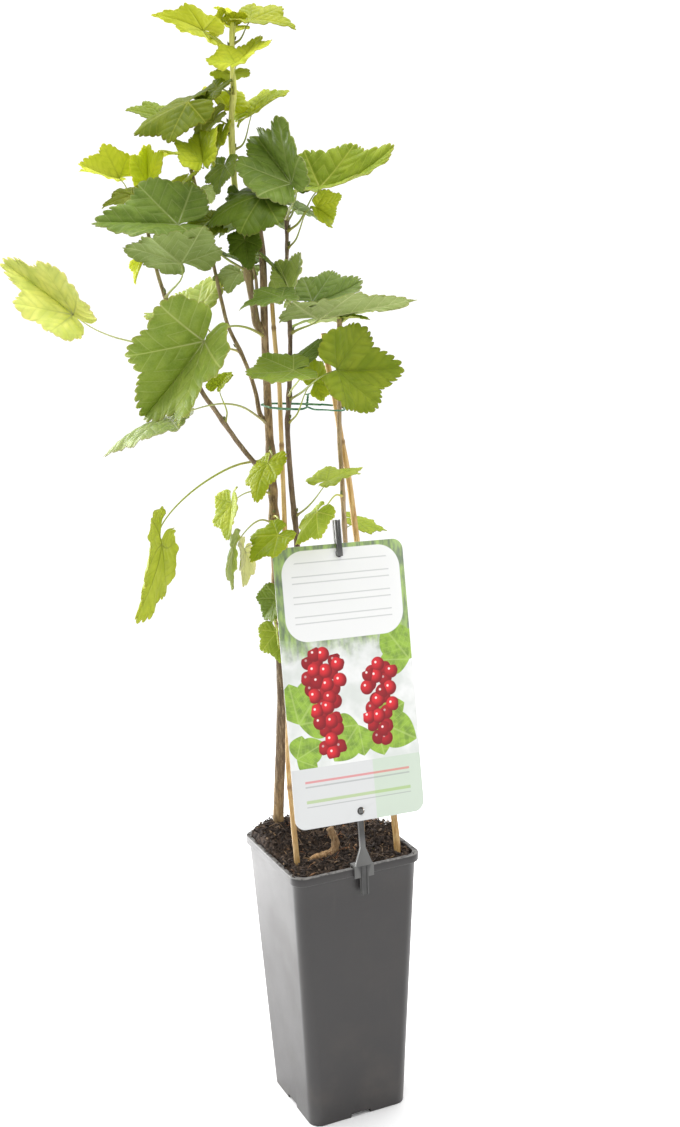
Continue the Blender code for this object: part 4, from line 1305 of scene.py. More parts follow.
@dataclass
class Pot:
    """The deep square pot: bowed walls, a rolled lip, feet between notches, and drain holes."""

    wall: float = 1.6 * MM
    lip: float = 2.3 * MM
    corner: float = 10.5 * MM
    bow: float = 0.7 * MM
    notch_width: float = 18 * MM
    notch_height: float = 3.5 * MM
    notch_reach: float = 14 * MM
    drain_radius: float = 4.5 * MM
    drain_place: float = 28 * MM
    levels: list[float] = field(default_factory=list)

    CORNER_STEPS = 8
    EDGE = 0.8 * MM

    def measure(self) -> tuple[float, float, float]:
        """Read the pot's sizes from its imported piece.

        Returns:
            The side at the foot, the side at the rim, and the height.
        """
        places = [vert.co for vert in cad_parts["pot"].data.vertices]
        self.levels = sorted({round(place.z / MM, 1) * MM for place in places})
        foot = 2 * max(abs(place.x) for place in places if place.z < MM)
        low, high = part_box("pot")
        return foot, high.x - low.x, high.z

    def grown_top(self, bm: BMesh, top: BMFace, scale: float, rise: float) -> BMFace:
        """Extrude the top face, scale it about the pot's axis, and raise it.

        Args:
            bm: the pot.
            top: its top face.
            scale: the new face's size against the old one's.
            rise: how far it goes up.

        Returns:
            The new top face.
        """
        geom = bmesh.ops.extrude_face_region(bm, geom=[top])["geom"]
        bmesh.ops.delete(bm, geom=[top], context="FACES_ONLY")
        verts = moved(geom, BMVert)
        bmesh.ops.scale(bm, verts=verts, vec=(scale, scale, 1))
        bmesh.ops.translate(bm, verts=verts, vec=(0, 0, rise))
        return moved(geom, BMFace)[0]

    def build(self) -> None:
        """Build the pot."""
        foot, rim, height = self.measure()
        lip_foot, floor = self.levels[-2], self.levels[2]
        finish = PotPlastic(rim=height, lip=lip_foot).make()
        under_lip = rim - 2 * self.lip
        bm = bmesh.new()
        bmesh.ops.create_cube(bm, size=1)
        bmesh.ops.transform(bm, verts=bm.verts, matrix=Matrix.Translation((0, 0, 0.5)))
        bmesh.ops.scale(bm, verts=bm.verts, vec=(foot, foot, lip_foot))
        upper = [vert for vert in bm.verts if vert.co.z > lip_foot / 2]
        bmesh.ops.scale(bm, verts=upper, vec=(under_lip / foot, under_lip / foot, 1))
        upright = [edge for edge in bm.edges if abs(edge.verts[0].co.z - edge.verts[1].co.z) > MM]
        rounded(bm, upright, self.corner, self.CORNER_STEPS)
        for axis in ((0, 0, 1), (1, 0, 0), (0, 1, 0)):
            for share in np.linspace(-0.4, 0.4, 7):
                place = Vector(axis) * share * (lip_foot if axis[2] else foot * 0.9)
                place.z += lip_foot / 2
                bmesh.ops.bisect_plane(bm, geom=bm.verts[:] + bm.edges[:] + bm.faces[:],
                                       dist=WELD, plane_co=place, plane_no=axis)
        for vert in bm.verts:
            rise = sin(pi * min(max(vert.co.z / lip_foot, 0), 1))
            half = (foot + (under_lip - foot) * vert.co.z / lip_foot) / 2
            for near, far in ((0, 1), (1, 0)):
                if abs(abs(vert.co[near]) - half) < 0.1 * MM:
                    across = cos(pi / 2 * min(abs(vert.co[far]) / half, 1))
                    vert.co[near] -= copysign(self.bow * rise * across, vert.co[near])
        tops = [face for face in bm.faces if face.normal.z > 0.9]
        bmesh.ops.dissolve_faces(bm, faces=tops)
        bm.faces.ensure_lookup_table()
        top = max(bm.faces, key=lambda face: face.calc_center_median().z)
        top = self.grown_top(bm, top, rim / under_lip, 0)
        top = self.grown_top(bm, top, 1, height - lip_foot)
        inside = under_lip - 2 * self.wall
        top = self.grown_top(bm, top, inside / rim, 0)
        self.grown_top(bm, top, (foot - 2 * self.wall) / inside, floor - height)
        bmesh.ops.recalc_face_normals(bm, faces=bm.faces)
        rims = []
        for edge in bm.edges:
            start, end = (vert.co for vert in edge.verts)
            crisp = len(edge.link_faces) == 2 and edge.calc_face_angle(0) > radians(50)
            level = min(abs(start.z - level) for level in (0, lip_foot, height)) < WELD
            outer = max(map(abs, start.xy)) > (foot if start.z < MM else rim) / 2.6
            if crisp and level and outer and abs(start.z - end.z) < WELD:
                rims.append(edge)
        rounded(bm, rims, self.EDGE, 3)
        mesh = self.cut(bm, foot, floor)
        Piece("nursery_pot", "pot_plastic", ("pot",)).set_down(mesh, [finish], sharp=32)

    def cut(self, bm: BMesh, foot: float, floor: float) -> Mesh:
        """Cut the notches between the feet and the drain holes.

        Args:
            bm: the whole pot, which is freed.
            foot: the side of the pot's foot.
            floor: the height of the floor's upper face.

        Returns:
            The cut mesh.
        """
        cutter = bmesh.new()
        for quarter in range(4):
            turn = Matrix.Rotation(radians(90) * quarter, 4, "Z")
            reach = foot - self.notch_reach
            place = turn @ Matrix.Translation((self.notch_reach + reach / 2, 0, 0))
            size = Matrix.Diagonal((reach, self.notch_width, 2 * self.notch_height, 1))
            bmesh.ops.create_cube(cutter, size=1, matrix=place @ size)
            place = turn @ Matrix.Translation((self.drain_place, 0, floor / 2))
            bmesh.ops.create_cone(cutter, cap_ends=True, segments=24, radius1=self.drain_radius,
                                  radius2=self.drain_radius, depth=3 * floor, matrix=place)
        return cut_away(bm, cutter)


def add_shape(bm: BMesh, shape: BMesh) -> None:
    """Add a copy of a shape, which is freed, to a bmesh."""
    mesh = as_mesh(shape)
    bm.from_mesh(mesh)
    bpy.data.meshes.remove(mesh)


def cut_away(bm: BMesh, cutter: BMesh) -> Mesh:
    """Cut one shape out of another.

    Args:
        bm: the shape that is kept, which is freed.
        cutter: the shape that is taken away, which is freed.

    Returns:
        The mesh that is left.
    """
    helpers = []
    for shape in (bm, cutter):
        helpers.append(linked("helper", as_mesh(shape)))
    modifier = helpers[0].modifiers.new("cut", "BOOLEAN")
    modifier.object, modifier.solver = helpers[1], "EXACT"
    modifier.operation = "DIFFERENCE"
    modifier.use_self = True
    graph = bpy.context.evaluated_depsgraph_get()
    mesh = bpy.data.meshes.new_from_object(helpers[0].evaluated_get(graph))
    for helper in helpers:
        bpy.data.objects.remove(helper)
    return mesh


@dataclass
class PeatFinish(Finish):
    """Damp peat: dark crumbs, brown fibre and a few paler threads."""

    dark: Colour = (0.014, 0.009, 0.006)
    brown: Colour = (0.068, 0.045, 0.032)
    pale: Colour = (0.15, 0.1, 0.062)
    lift: float = 0.35

    def paint(self) -> None:
        """Set the surface of the material."""
        shader = self.shader
        place = self.place
        crumb = shader.cell_tint(place, 420)
        thread = shader.noise(shader.scaled(place, (1.0, 0.35, 1.0)), 900, 4, 0.7)
        cloud = shader.noise(place, 90, 3)
        colour = shader.blend(shader.step(crumb, 0.15, 0.95), self.dark, self.brown)
        colour = shader.blend(shader.step(thread, 0.56, 0.7) * self.lift, colour, self.pale)
        colour = shader.blend(shader.step(cloud, 0.45, 0.7) * 0.5, colour, self.dark)
        edge = shader.cells(place, 420)
        shader.finish(Base_Color=colour, Roughness=shader.step(thread, 0.3, 0.7, 0.98, 0.82),
                      Specular_IOR_Level=0.25,
                      Normal=shader.bump(edge * 0.6 + thread * 0.5, 1.2 * MM))


@dataclass
class ChipFinish(Finish):
    """Bits of bark and straw in the peat, each of its own brown."""

    name: str = "peat_chips"
    stops: Stops = ((0.0, (0.021, 0.015, 0.012)), (0.5, (0.058, 0.042, 0.034)),
                    (0.76, (0.105, 0.075, 0.057)), (0.91, (0.18, 0.128, 0.086)),
                    (0.98, (0.36, 0.24, 0.135)), (1.0, (0.34, 0.15, 0.065)))

    def paint(self) -> None:
        """Set the surface of the material."""
        shader = self.shader
        place = self.place
        own = shader.attribute("own")
        grain = shader.noise(place, 1500, 3)
        colour = shader.ramp(own, self.stops)
        dark = shader.blend(1.0, colour, (0.35, 0.33, 0.32), "MULTIPLY")
        shader.finish(Base_Color=shader.blend(shader.step(grain, 0.35, 0.65), dark, colour),
                      Roughness=shader.step(grain, 0.3, 0.7, 0.95, 0.75), Specular_IOR_Level=0.3,
                      Normal=shader.bump(grain, 0.25 * MM))


@dataclass
class Soil:
    """The peat in the pot: a crumbled block, with chips and fibres strewn over it."""

    side: float = 0.0
    foot_side: float = 0.0
    corner: float = 7.4 * MM
    floor: float = 0.0
    knots: np.ndarray | None = None
    root: list[Vector] = field(default_factory=list)

    CELLS = 112
    TOP_ABOVE = 0.218
    WALL_TOP = 0.205
    SEED = 11
    MARGIN = 1.5 * MM
    HEAP = 3.2 * MM
    DROP = 5.5 * MM
    SHOULDER = 6 * MM
    LUMP = 2.2 * MM
    LUMP_SPAN = 6 * MM
    RIDGE_SPAN = 3.2 * MM
    CRUMB = 1.1 * MM
    CRUMB_SPAN = 1.9 * MM
    CHIPS = 1450
    FIBRES = 620
    RIM_CRUMBS = 60
    ON_RIM = 1.8 * MM
    SPAN = 14 * MM
    PILE = 10 * MM
    PILE_PLACE = (52 * MM, -5 * MM)
    PILE_SPAN = 23 * MM
    DENT = 2.6 * MM
    DENT_REACH = 5.5 * MM
    TUFTS = (  # each one's place, how many fibres it has, how high they stand, and its tone
        (-30, 48, 16, 8, 0.1), (-20, 50, 10, 7, 0.3), (53, -12, 30, 9, 0.3), (44, 12, 16, 3, 0.9),
        (7, 6, 10, 3, 0.9), (-49, -46, 8, 4, 0.2), (-52, -20, 7, 4, 0.2), (-16, -34, 10, 4, 0.9),
        (4, -22, 9, 3, 0.8),
    )
    TUFT_SPREAD = 3.2 * MM

    def measure(self) -> None:
        """Read the packed soil's sizes and the places on its top."""
        places = np.array([vert.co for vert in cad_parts["soil"].data.vertices])
        self.floor = float(places[:, 2].min())
        self.side = 2 * float(places[:, 0].max())
        self.foot_side = 2 * float(places[places[:, 2] < self.floor + MM][:, 0].max())
        self.knots = np.unique(places[places[:, 2] > self.TOP_ABOVE].round(5), axis=0)
        root = RootStub("root_stub", "dead_root")
        root.read()
        self.root = root.path.smooth(2 * MM).points

    def height(self, x: float, y: float) -> float:
        """The peat's height at a place, with its lumps and crumbs.

        Args:
            x: the place across the pot.
            y: the place towards its back.

        Returns:
            The height.
        """
        near = 1 / (np.hypot(self.knots[:, 0] - x, self.knots[:, 1] - y) + 0.5 * MM) ** 4
        level = float((near * self.knots[:, 2]).sum() / near.sum())
        lump = noise.noise(Vector((x, y, 0)) / self.LUMP_SPAN) * self.LUMP
        crumb = noise.noise(Vector((x, y, 1)) / self.CRUMB_SPAN) * self.CRUMB
        ridge = abs(noise.noise(Vector((x, y, 2)) / self.RIDGE_SPAN)) * self.LUMP
        edge = self.side / 2 - max(abs(x), abs(y))
        level += self.HEAP * min(max(edge / self.SPAN, 0.6), 1)
        level -= self.DROP * max(1 - edge / self.SHOULDER, 0) ** 2
        pile_x, pile_y = self.PILE_PLACE
        level += self.PILE * exp(-(((x - pile_x) ** 2 + (y - pile_y) ** 2) / self.PILE_SPAN**2))
        near_root = min((point.xy - Vector((x, y))).length for point in self.root)
        level -= self.DENT * exp(-((near_root / self.DENT_REACH) ** 2))
        return level + lump + crumb + ridge

    def tucked(self, x: float, y: float) -> tuple[float, float]:
        """A place in the square moved inside its rounded corners.

        Args:
            x: the place across the pot.
            y: the place towards its back.

        Returns:
            The moved place.
        """
        half = self.side / 2
        inner = half - self.corner
        past = Vector((max(abs(x) - inner, 0), max(abs(y) - inner, 0)))
        if past.x > 0 and past.y > 0:
            past = past * (max(past) / past.length)
        return (copysign(min(abs(x), inner) + past.x, x), copysign(min(abs(y), inner) + past.y, y))

    def block(self) -> BMesh:
        """Build the block with its crumbled top.

        Returns:
            The block.
        """
        bm = bmesh.new()
        top = bmesh.ops.create_grid(
            bm, x_segments=self.CELLS, y_segments=self.CELLS, size=self.side / 2
        )["verts"]
        for vert in top:
            x, y = self.tucked(vert.co.x, vert.co.y)
            vert.co = (x, y, self.height(x, y))
        rim = [edge for edge in bm.edges if edge.is_boundary]
        for level, side in ((self.floor + self.WALL_TOP, self.side), (self.floor, self.foot_side)):
            grown = bmesh.ops.extrude_edge_only(bm, edges=rim)["geom"]
            verts = moved(grown, BMVert)
            share = side / self.side
            for vert in verts:
                vert.co = (vert.co.x * share, vert.co.y * share, level)
            rim = moved(grown, BMEdge)
        bmesh.ops.holes_fill(bm, edges=rim, sides=0)
        bmesh.ops.recalc_face_normals(bm, faces=bm.faces)
        return bm

    def strew(self) -> BMesh:
        """Strew chips and fibres over the peat.

        Returns:
            The chips and fibres.
        """
        self.litter, self.rng = bmesh.new(), random.Random(self.SEED)
        self.litter.verts.layers.float.new("own")
        rng = self.rng
        reach = self.side / 2 - self.MARGIN
        side = self.side / 2 + self.ON_RIM
        for _ in range(self.CHIPS):
            x, y = rng.uniform(-reach, reach), rng.uniform(-reach, reach)
            self.chip(Vector((x, y, self.height(x, y) + rng.uniform(0.2, 1.3) * MM)))
        for _ in range(self.RIM_CRUMBS):
            x, y = rng.uniform(-reach, reach), rng.uniform(-reach, reach)
            x, y = rng.choice(((x, -side), (-side, y), (-side, y), (side, y), (x, side)))
            self.chip(Vector((x, y, POT_TOP + 0.3 * MM)), 0.6)
        for x, y, count, stand, tone in self.TUFTS:
            for _ in range(count):
                place = Vector((x, y, 0)) * MM
                for axis in range(2):
                    near = place[axis] + rng.gauss(0, self.TUFT_SPREAD)
                    place[axis] = min(max(near, -reach), reach)
                own = min(tone + rng.uniform(0.0, 0.5), 1.0)
                self.fibre(place[:2], rng.uniform(1.5, stand) * MM, own)
                place.z = self.height(*place[:2]) + rng.uniform(0.3, 0.6) * stand * MM
                self.chip(place)
        for _ in range(self.FIBRES):
            place = rng.uniform(-reach, reach), rng.uniform(-reach, reach)
            self.fibre(place, 0.0, 0.2 + 0.8 * rng.random() ** 1.1)
        return self.litter

    def chip(self, place: Vector, size: float = 1.0) -> None:
        """Add one rough shard.

        Args:
            place: where its middle lies.
            size: how big it is beside the usual.
        """
        rng, own = self.rng, self.litter.verts.layers.float["own"]
        share = rng.random() ** 1.5
        wide = (0.4 + 0.85 * share) * size * MM
        long = rng.uniform(1.1, 2.6 + 3.0 * share) * size * MM
        turn = Matrix.Rotation(rng.uniform(0, 6.3), 4, "Z") @ Matrix.Rotation(
            rng.uniform(-0.8, 0.8), 4, "Y"
        )
        shape = Matrix.Diagonal((max(long, wide), wide, wide * rng.uniform(0.3, 0.8), 1))
        made = bmesh.ops.create_icosphere(
            self.litter, subdivisions=1, radius=1, matrix=Matrix.Translation(place) @ turn @ shape
        )["verts"]
        tone = rng.random() ** 1.15
        for vert in made:
            vert.co += Vector(rng.uniform(-0.25, 0.25) * wide for _ in range(3))
            vert[own] = tone

    def fibre(self, place: Sequence[float], stand: float, tone: float) -> None:
        """Add one bent fibre that lies on the peat, or stands out of it.

        Args:
            place: where it starts.
            stand: how far its end stands up.
            tone: how pale it is, from 0 to 1.
        """
        rng = self.rng
        x, y = place
        reach = self.side / 2 - self.MARGIN + stand
        heading, turn = rng.uniform(0, 6.3), rng.uniform(-0.5, 0.5)
        step, rise = rng.uniform(1.0, 3.3) * MM, rng.uniform(0.1, 2.8) * MM
        if stand:
            step *= 0.6
        points = []
        for k in range(5):
            if max(abs(x), abs(y)) > reach:
                break
            arch = sin(pi * k / 4) * rise + stand * (k / 4) ** 1.5
            points.append(Vector((x, y, self.height(x, y) + arch + 0.3 * MM)))
            x, y = x + cos(heading) * step, y + sin(heading) * step
            heading += turn
        if len(points) < 3:
            return
        thick = rng.uniform(0.16, 0.52) * MM
        one = bmesh.new()
        own = one.verts.layers.float.new("own")
        TubePath(points, [thick * (1 - 0.12 * k) for k in range(len(points))]).build(one, 3)
        for vert in one.verts:
            vert[own] = tone
        add_shape(self.litter, one)

    def build(self) -> None:
        """Build the block and what is strewn over it."""
        self.measure()
        peat = PeatFinish("peat_crumb").make()
        Piece("peat_block", "peat", ("soil",)).set_down(self.block(), [peat])
        Piece("peat_litter", "peat").set_down(self.strew(), [ChipFinish().make()], sharp=40)


@dataclass
class RootStub(Wood):
    """The bent stub of dead root that lies on the peat, with a frayed end."""

    knobbly: float = 0.16

    FROM = -1
    FRAYS = ((0.3, 0.1), (0.05, -0.12), (-0.35, 0.05), (-0.1, 0.3))
    FRAY_LENGTH = 8.5 * MM
    FRAY_RADII = (0.75, 0.6, 0.4, 0.1)

    def grow(self, feet: Iterable[Vector], finishes: Sequence[Material]) -> None:
        """Build the root.

        Args:
            feet: not used, as a root bears no leaves.
            finishes: its material.
        """
        fine = self.path.smooth(1.1 * MM)

        def relief(place: Vector, _along: float, _ring: int) -> float:
            """The root's lumps and furrows."""
            furrow = noise.noise(Vector((place.x * 900, place.y * 900, place.z * 200)))
            return 1 + self.knobbly * (2 * noise.noise(place * 420) + 1.2 * furrow)

        bm = bmesh.new()
        fine.build(bm, self.sides, relief)
        end = fine.points[-4]
        toward = (fine.points[-4] - fine.points[-9]).normalized()
        side = toward.cross(UP).normalized()
        for across, rise in self.FRAYS:
            way = (toward + side * across + UP * (rise + 0.55)).normalized()
            points = [end + (UP - toward) * MM + way * self.FRAY_LENGTH * k / 3 for k in range(4)]
            radii = [radius * MM for radius in self.FRAY_RADII]
            TubePath(points, radii).smooth(1.2 * MM).build(bm, 6, relief)
        Piece(f"dead_{self.node}", self.slot, (self.node,)).set_down(bm, finishes)


@dataclass
class TieCoating(Finish):
    """The tie's green coating, rubbed paler in patches."""

    name: str = "tie_green_coating"
    green: Colour = (0.03, 0.165, 0.082)
    rubbed: Colour = (0.19, 0.36, 0.23)

    def paint(self) -> None:
        """Set the surface of the material."""
        shader = self.shader
        rub = shader.noise(self.place, 260, 3)
        shader.finish(
            Base_Color=shader.blend(shader.step(rub, 0.42, 0.62), self.green, self.rubbed),
            Roughness=shader.step(rub, 0.3, 0.7, 0.3, 0.48),
            Normal=shader.bump(rub, 0.1 * MM),
        )


@dataclass
class Tie:
    """The thin coated wire that holds the stems to the canes, twice round and twisted shut."""

    wire: float = 0.5 * MM
    gap: float = 1.15 * MM

    BINS = 40
    LOOP_TOP = 0.5972
    SIDES = 7
    TAIL_TURNS = 2.5
    TAIL_STEPS = 26
    LOOSE_END = 5 * MM

    def loop(self) -> list[Vector]:
        """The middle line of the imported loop, read in slices round its middle.

        Returns:
            Its points.
        """
        bm = welded_copy("tie_wire")
        places = [vert.co.copy() for vert in bm.verts if vert.co.z < self.LOOP_TOP]
        bm.free()
        low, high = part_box("tie_wire")
        middle = (low + high) / 2
        bins: dict[int, list[Vector]] = {}
        for place in places:
            out = place - middle
            turn = atan2(out.y * 2, out.x) / (2 * pi) % 1
            bins.setdefault(int(turn * self.BINS), []).append(place)
        return [sum(found, Vector()) / len(found) for _, found in sorted(bins.items())]

    def build(self) -> None:
        """Build the two turns, the knot and its loose ends."""
        loop = self.loop()
        bm = bmesh.new()
        for turn in (0.0, 0.5):
            offset = [
                place + UP * self.gap * (turn - 0.25) * (1 + 0.7 * sin(0.5 * k + 9 * turn))
                for k, place in enumerate(loop)
            ]
            closed = TubePath([*offset, offset[0]], [self.wire] * (len(loop) + 1))
            closed.smooth(1.4 * MM).build(bm, self.SIDES)
        self.knot(bm)
        Piece("plant_tie", "tie_coating", ("tie_wire",)).set_down(bm, [TieCoating().make()])

    def knot(self, bm: BMesh) -> None:
        """Add the twisted ends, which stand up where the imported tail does.

        Args:
            bm: the tie.
        """
        tail = [vert.co for vert in welded_copy("tie_wire").verts if vert.co.z > self.LOOP_TOP]
        low = min(tail, key=lambda place: place.z)
        high = max(tail, key=lambda place: place.z)
        foot = low.copy() - UP * 3 * MM
        for start in (0.0, pi):
            points = []
            for k in range(self.TAIL_STEPS):
                share = k / (self.TAIL_STEPS - 1)
                angle = start + share * self.TAIL_TURNS * 2 * pi
                out = Vector((cos(angle), sin(angle), 0)) * self.wire * 1.1
                points.append(foot.lerp(high, share) + out)
            apart = Vector((cos(start + 0.6), sin(start + 0.6), 0.1))
            points += [points[-1] + apart * self.LOOSE_END * share for share in (0.25, 0.6, 1.0)]
            TubePath(points, [self.wire] * len(points)).build(bm, self.SIDES)


@dataclass
class CardPrint(Finish):
    """The label's face: a white notice panel, a picture of currants, and a pale foot.

    The picture is a plain pattern of berries on strings and lens-shaped leaves.
    """

    name: str = "label_print"
    paper: Colour = (0.8, 0.805, 0.8)
    mist: Colour = (0.64, 0.67, 0.64)
    green: Colour = (0.3, 0.48, 0.055)
    deep_green: Colour = (0.045, 0.095, 0.025)
    red: Colour = (0.68, 0.02, 0.03)
    deep_red: Colour = (0.21, 0.004, 0.01)
    glint: Colour = (0.98, 0.78, 0.76)
    rule: Colour = (0.3, 0.31, 0.31)
    vein: Colour = (0.52, 0.66, 0.22)
    foot: Colour = (0.64, 0.65, 0.65)
    tinted_foot: Colour = (0.56, 0.64, 0.545)

    BERRIES = 20.0
    STRINGS = ((-0.1, 0.14, -0.262, 0.08, 0.1), (0.11, 0.06, -0.225, 0.072, -0.08))
    LEAVES = ((-0.145, -0.045, 0.9, 0.21, 0.08), (0.165, -0.19, -0.5, 0.19, 0.07),
              (-0.035, -0.215, -2.3, 0.16, 0.062), (0.195, 0.125, 2.2, 0.17, 0.07),
              (-0.175, -0.225, 0.4, 0.12, 0.05))
    LAYERS = ((0.53, 0.55), (0.0, 0.0))  # how far each is moved, and how dark it is
    GLINT_SHIFT = 0.16
    LOBE_TURN = 0.85
    LOBE_SHARE = 0.72
    PANEL = (0.004, 0.322, 0.232, 0.162, 0.085)
    PICTURE_FOOT = -0.285

    def lens(self, form: Sequence[float]) -> tuple[Wire, Wire]:
        """The mask of one lens shape and of the veins along it.

        Args:
            form: the foot's place, the turn, the length, and the half width.

        Returns:
            The shape's mask and its veins' mask.
        """
        foot_x, foot_y, turn, length, width = form
        step, off_x, off_y = self.shader.step, self.x - foot_x, self.y - foot_y
        along = (off_x * cos(turn) + off_y * sin(turn)) / (length / 2) - 1
        across = abs(off_y * cos(turn) - off_x * sin(turn)) / width
        shape = step(1 - along * along - across, 0.0, 0.05)
        side = abs(self.fract(along * 4 - across * 1.6) - 0.5)
        veins = self.most(step(across, 0.03, 0.07, 1, 0), step(side, 0.03, 0.07, 0.6, 0))
        return shape, veins * shape

    def most(self, *masks: Wire) -> Wire:
        """The greatest of some masks."""
        return functools.reduce(lambda a, b: self.shader.math("MAXIMUM", a, b), masks)

    def fract(self, value: Wire) -> Wire:
        """What is past a value's last whole number."""
        return self.shader.math("FRACT", value)

    def length(self, x: Wire, y: Wire) -> Wire:
        """How long a flat vector is."""
        return self.shader.math("SQRT", x * x + y * y)

    def leaf(self, form: Sequence[float]) -> tuple[Wire, Wire]:
        """The mask of one leaf of three lobes, and of its veins.

        Args:
            form: the middle's place, the turn, the length, and the half width.

        Returns:
            The leaf's mask and its veins' mask.
        """
        middle_x, middle_y, turn, length, width = form
        foot = (middle_x - cos(turn) * length / 2, middle_y - sin(turn) * length / 2)
        lobes = [self.lens((*foot, turn, length, width))]
        for side in (-1, 1):
            turned = turn + side * self.LOBE_TURN
            lobes.append(self.lens((*foot, turned, length * self.LOBE_SHARE, width * 0.8)))
        return self.most(*(shape for shape, _ in lobes)), self.most(*(veins for _, veins in lobes))

    def paint(self) -> None:
        """Set the surface of the material, for a face with the print map."""
        shader = self.shader
        self.x, self.y = shader.uv("print")
        flat = shader.join(self.x, self.y)
        haze = shader.noise(flat, 9, 3)
        colour = shader.blend(shader.step(haze, 0.35, 0.65), self.paper, self.mist)
        wild = shader.step(self.y + shader.noise(flat, 14, 4) * 0.22, 0.19, 0.3)
        grassy = shader.noise(shader.scaled(flat, (1.0, 0.25, 1.0)), 60, 4)
        meadow = shader.blend(shader.step(grassy, 0.3, 0.7), self.deep_green, self.green)
        colour = shader.blend(wild * 0.85, colour, meadow)
        tone = shader.noise(flat, 30, 3)
        for form in self.LEAVES:
            leaf, veins = self.leaf(form)
            blade = shader.blend(shader.step(tone, 0.35, 0.7) * 0.5, self.green, self.deep_green)
            blade = shader.blend(veins * 0.35, blade, self.vein)
            colour = shader.blend(leaf, colour, blade)
        for layer, deep in self.LAYERS:
            berry, mask = self.berries(layer)
            colour = shader.blend(mask, colour, shader.blend(deep, berry, self.deep_red))
        speck = shader.noise(self.place, 900, 2)
        shader.finish(Base_Color=self.panels(colour),
                      Roughness=shader.step(speck, 0.3, 0.7, 0.3, 0.4),
                      Normal=shader.bump(speck, 0.02 * MM))

    def berries(self, shift: float) -> tuple[Wire, Wire]:
        """One layer of round berries, whole ones only, on the strings.

        Args:
            shift: how far the layer is moved, in berries.

        Returns:
            The berries' colour and their mask.
        """
        shader, size = self.shader, 1 / self.BERRIES
        off = shift * size
        cell = shader.node("ShaderNodeTexVoronoi", {"voronoi_dimensions": "2D", "feature": "F1"},
                           {"Vector": shader.join(self.x + off, self.y + off),
                            "Scale": self.BERRIES, "Randomness": 0.5})
        centre_x, centre_y = (part - off for part in shader.split(cell.outputs["Position"]))
        bunch = self.most(*(self.string(centre_x, centre_y, form) for form in self.STRINGS))
        glint = size * self.GLINT_SHIFT
        bright = self.length(self.x - centre_x + glint, self.y - centre_y - glint) / size
        own = shader.split(cell.outputs["Color"])[0]
        berry = shader.blend(shader.step(bright, 0.16, 0.7), self.red, self.deep_red)
        berry = shader.blend(shader.step(own, 0.45, 0.9) * 0.75, berry, self.deep_red)
        berry = shader.blend(shader.step(bright, 0.12, 0.05), berry, self.glint)
        far = Wire(shader, cell.outputs["Distance"])
        return berry, (bunch > 0.5) * shader.step(far, 0.56, 0.51)

    def string(self, x: Wire, y: Wire, form: Sequence[float]) -> Wire:
        """The mask of one hanging string of berries.

        Args:
            x: the place across the card.
            y: the place up the card.
            form: the string's middle, top, foot, half width and bend.

        Returns:
            The mask.
        """
        middle, top, foot, width, bend = form
        down = (top - y) / (top - foot)
        off = abs(x - middle - (down * down - 0.3) * bend * 0.3)
        wide = self.shader.step(down, 0.0, 0.18) * (1 - down * 0.55) * width
        return self.shader.step(off - wide, 0.004, 0.0) * (down > 0) * (1 - (down > 1))

    def panels(self, colour: Wire) -> Wire:
        """Lay the white panel and the pale foot over the picture.

        Args:
            colour: the picture.

        Returns:
            The whole face's colour.
        """
        shader, step, x, y = self.shader, self.shader.step, self.x, self.y
        middle_x, middle_y, half_x, half_y, corner = self.PANEL
        past_x = shader.math("MAXIMUM", abs(x - middle_x) - (half_x - corner), 0.0)
        past_y = shader.math("MAXIMUM", abs(y - middle_y) - (half_y - corner), 0.0)
        brow = self.length(past_x, past_y) - corner
        pairs = step(self.fract(y * 14.0), 0.7, 0.72, 1, 0)
        lines = step(abs(self.fract(y * 42.0) - 0.5), 0.07, 0.11, 1, 0) * pairs
        margin = step(abs(x), 0.19, 0.192, 1, 0) * step(brow, -0.03, -0.032)
        sheet = shader.blend(lines * margin * 0.45, self.paper, self.rule)
        colour = shader.blend(step(brow, 0.0015, -0.0015), colour, sheet)
        pale = shader.blend(step(x, 0.06, 0.064), self.foot, self.tinted_foot)
        inside = step(abs(x), 0.205, 0.207, 1, 0)
        bands = ((-0.335, 0.0035, self.red), (-0.352, 0.0022, self.rule),
                 (-0.405, 0.005, self.green), (-0.423, 0.0012, self.rule))
        for level, half, ink in bands:
            band = step(abs(y - level), half, half + 0.001, 1, 0) * inside
            pale = shader.blend(band * 0.55, pale, ink)
        return shader.blend(step(y, self.PICTURE_FOOT, self.PICTURE_FOOT - 0.002), colour, pale)


@dataclass
class CardBack(Finish):
    """The plain white plastic of the label's back and edges."""

    name: str = "label_plastic"
    white: Colour = (0.64, 0.645, 0.64)
    grey: Colour = (0.56, 0.565, 0.56)

    def paint(self) -> None:
        """Set the surface of the material."""
        shader = self.shader
        cloud, speck = shader.noise(self.place, 40, 4), shader.noise(self.place, 900, 2)
        shader.finish(Base_Color=shader.blend(shader.step(cloud, 0.4, 0.8), self.white, self.grey),
                      Roughness=shader.step(speck, 0.3, 0.7, 0.34, 0.46),
                      Normal=shader.bump(speck, 0.03 * MM))


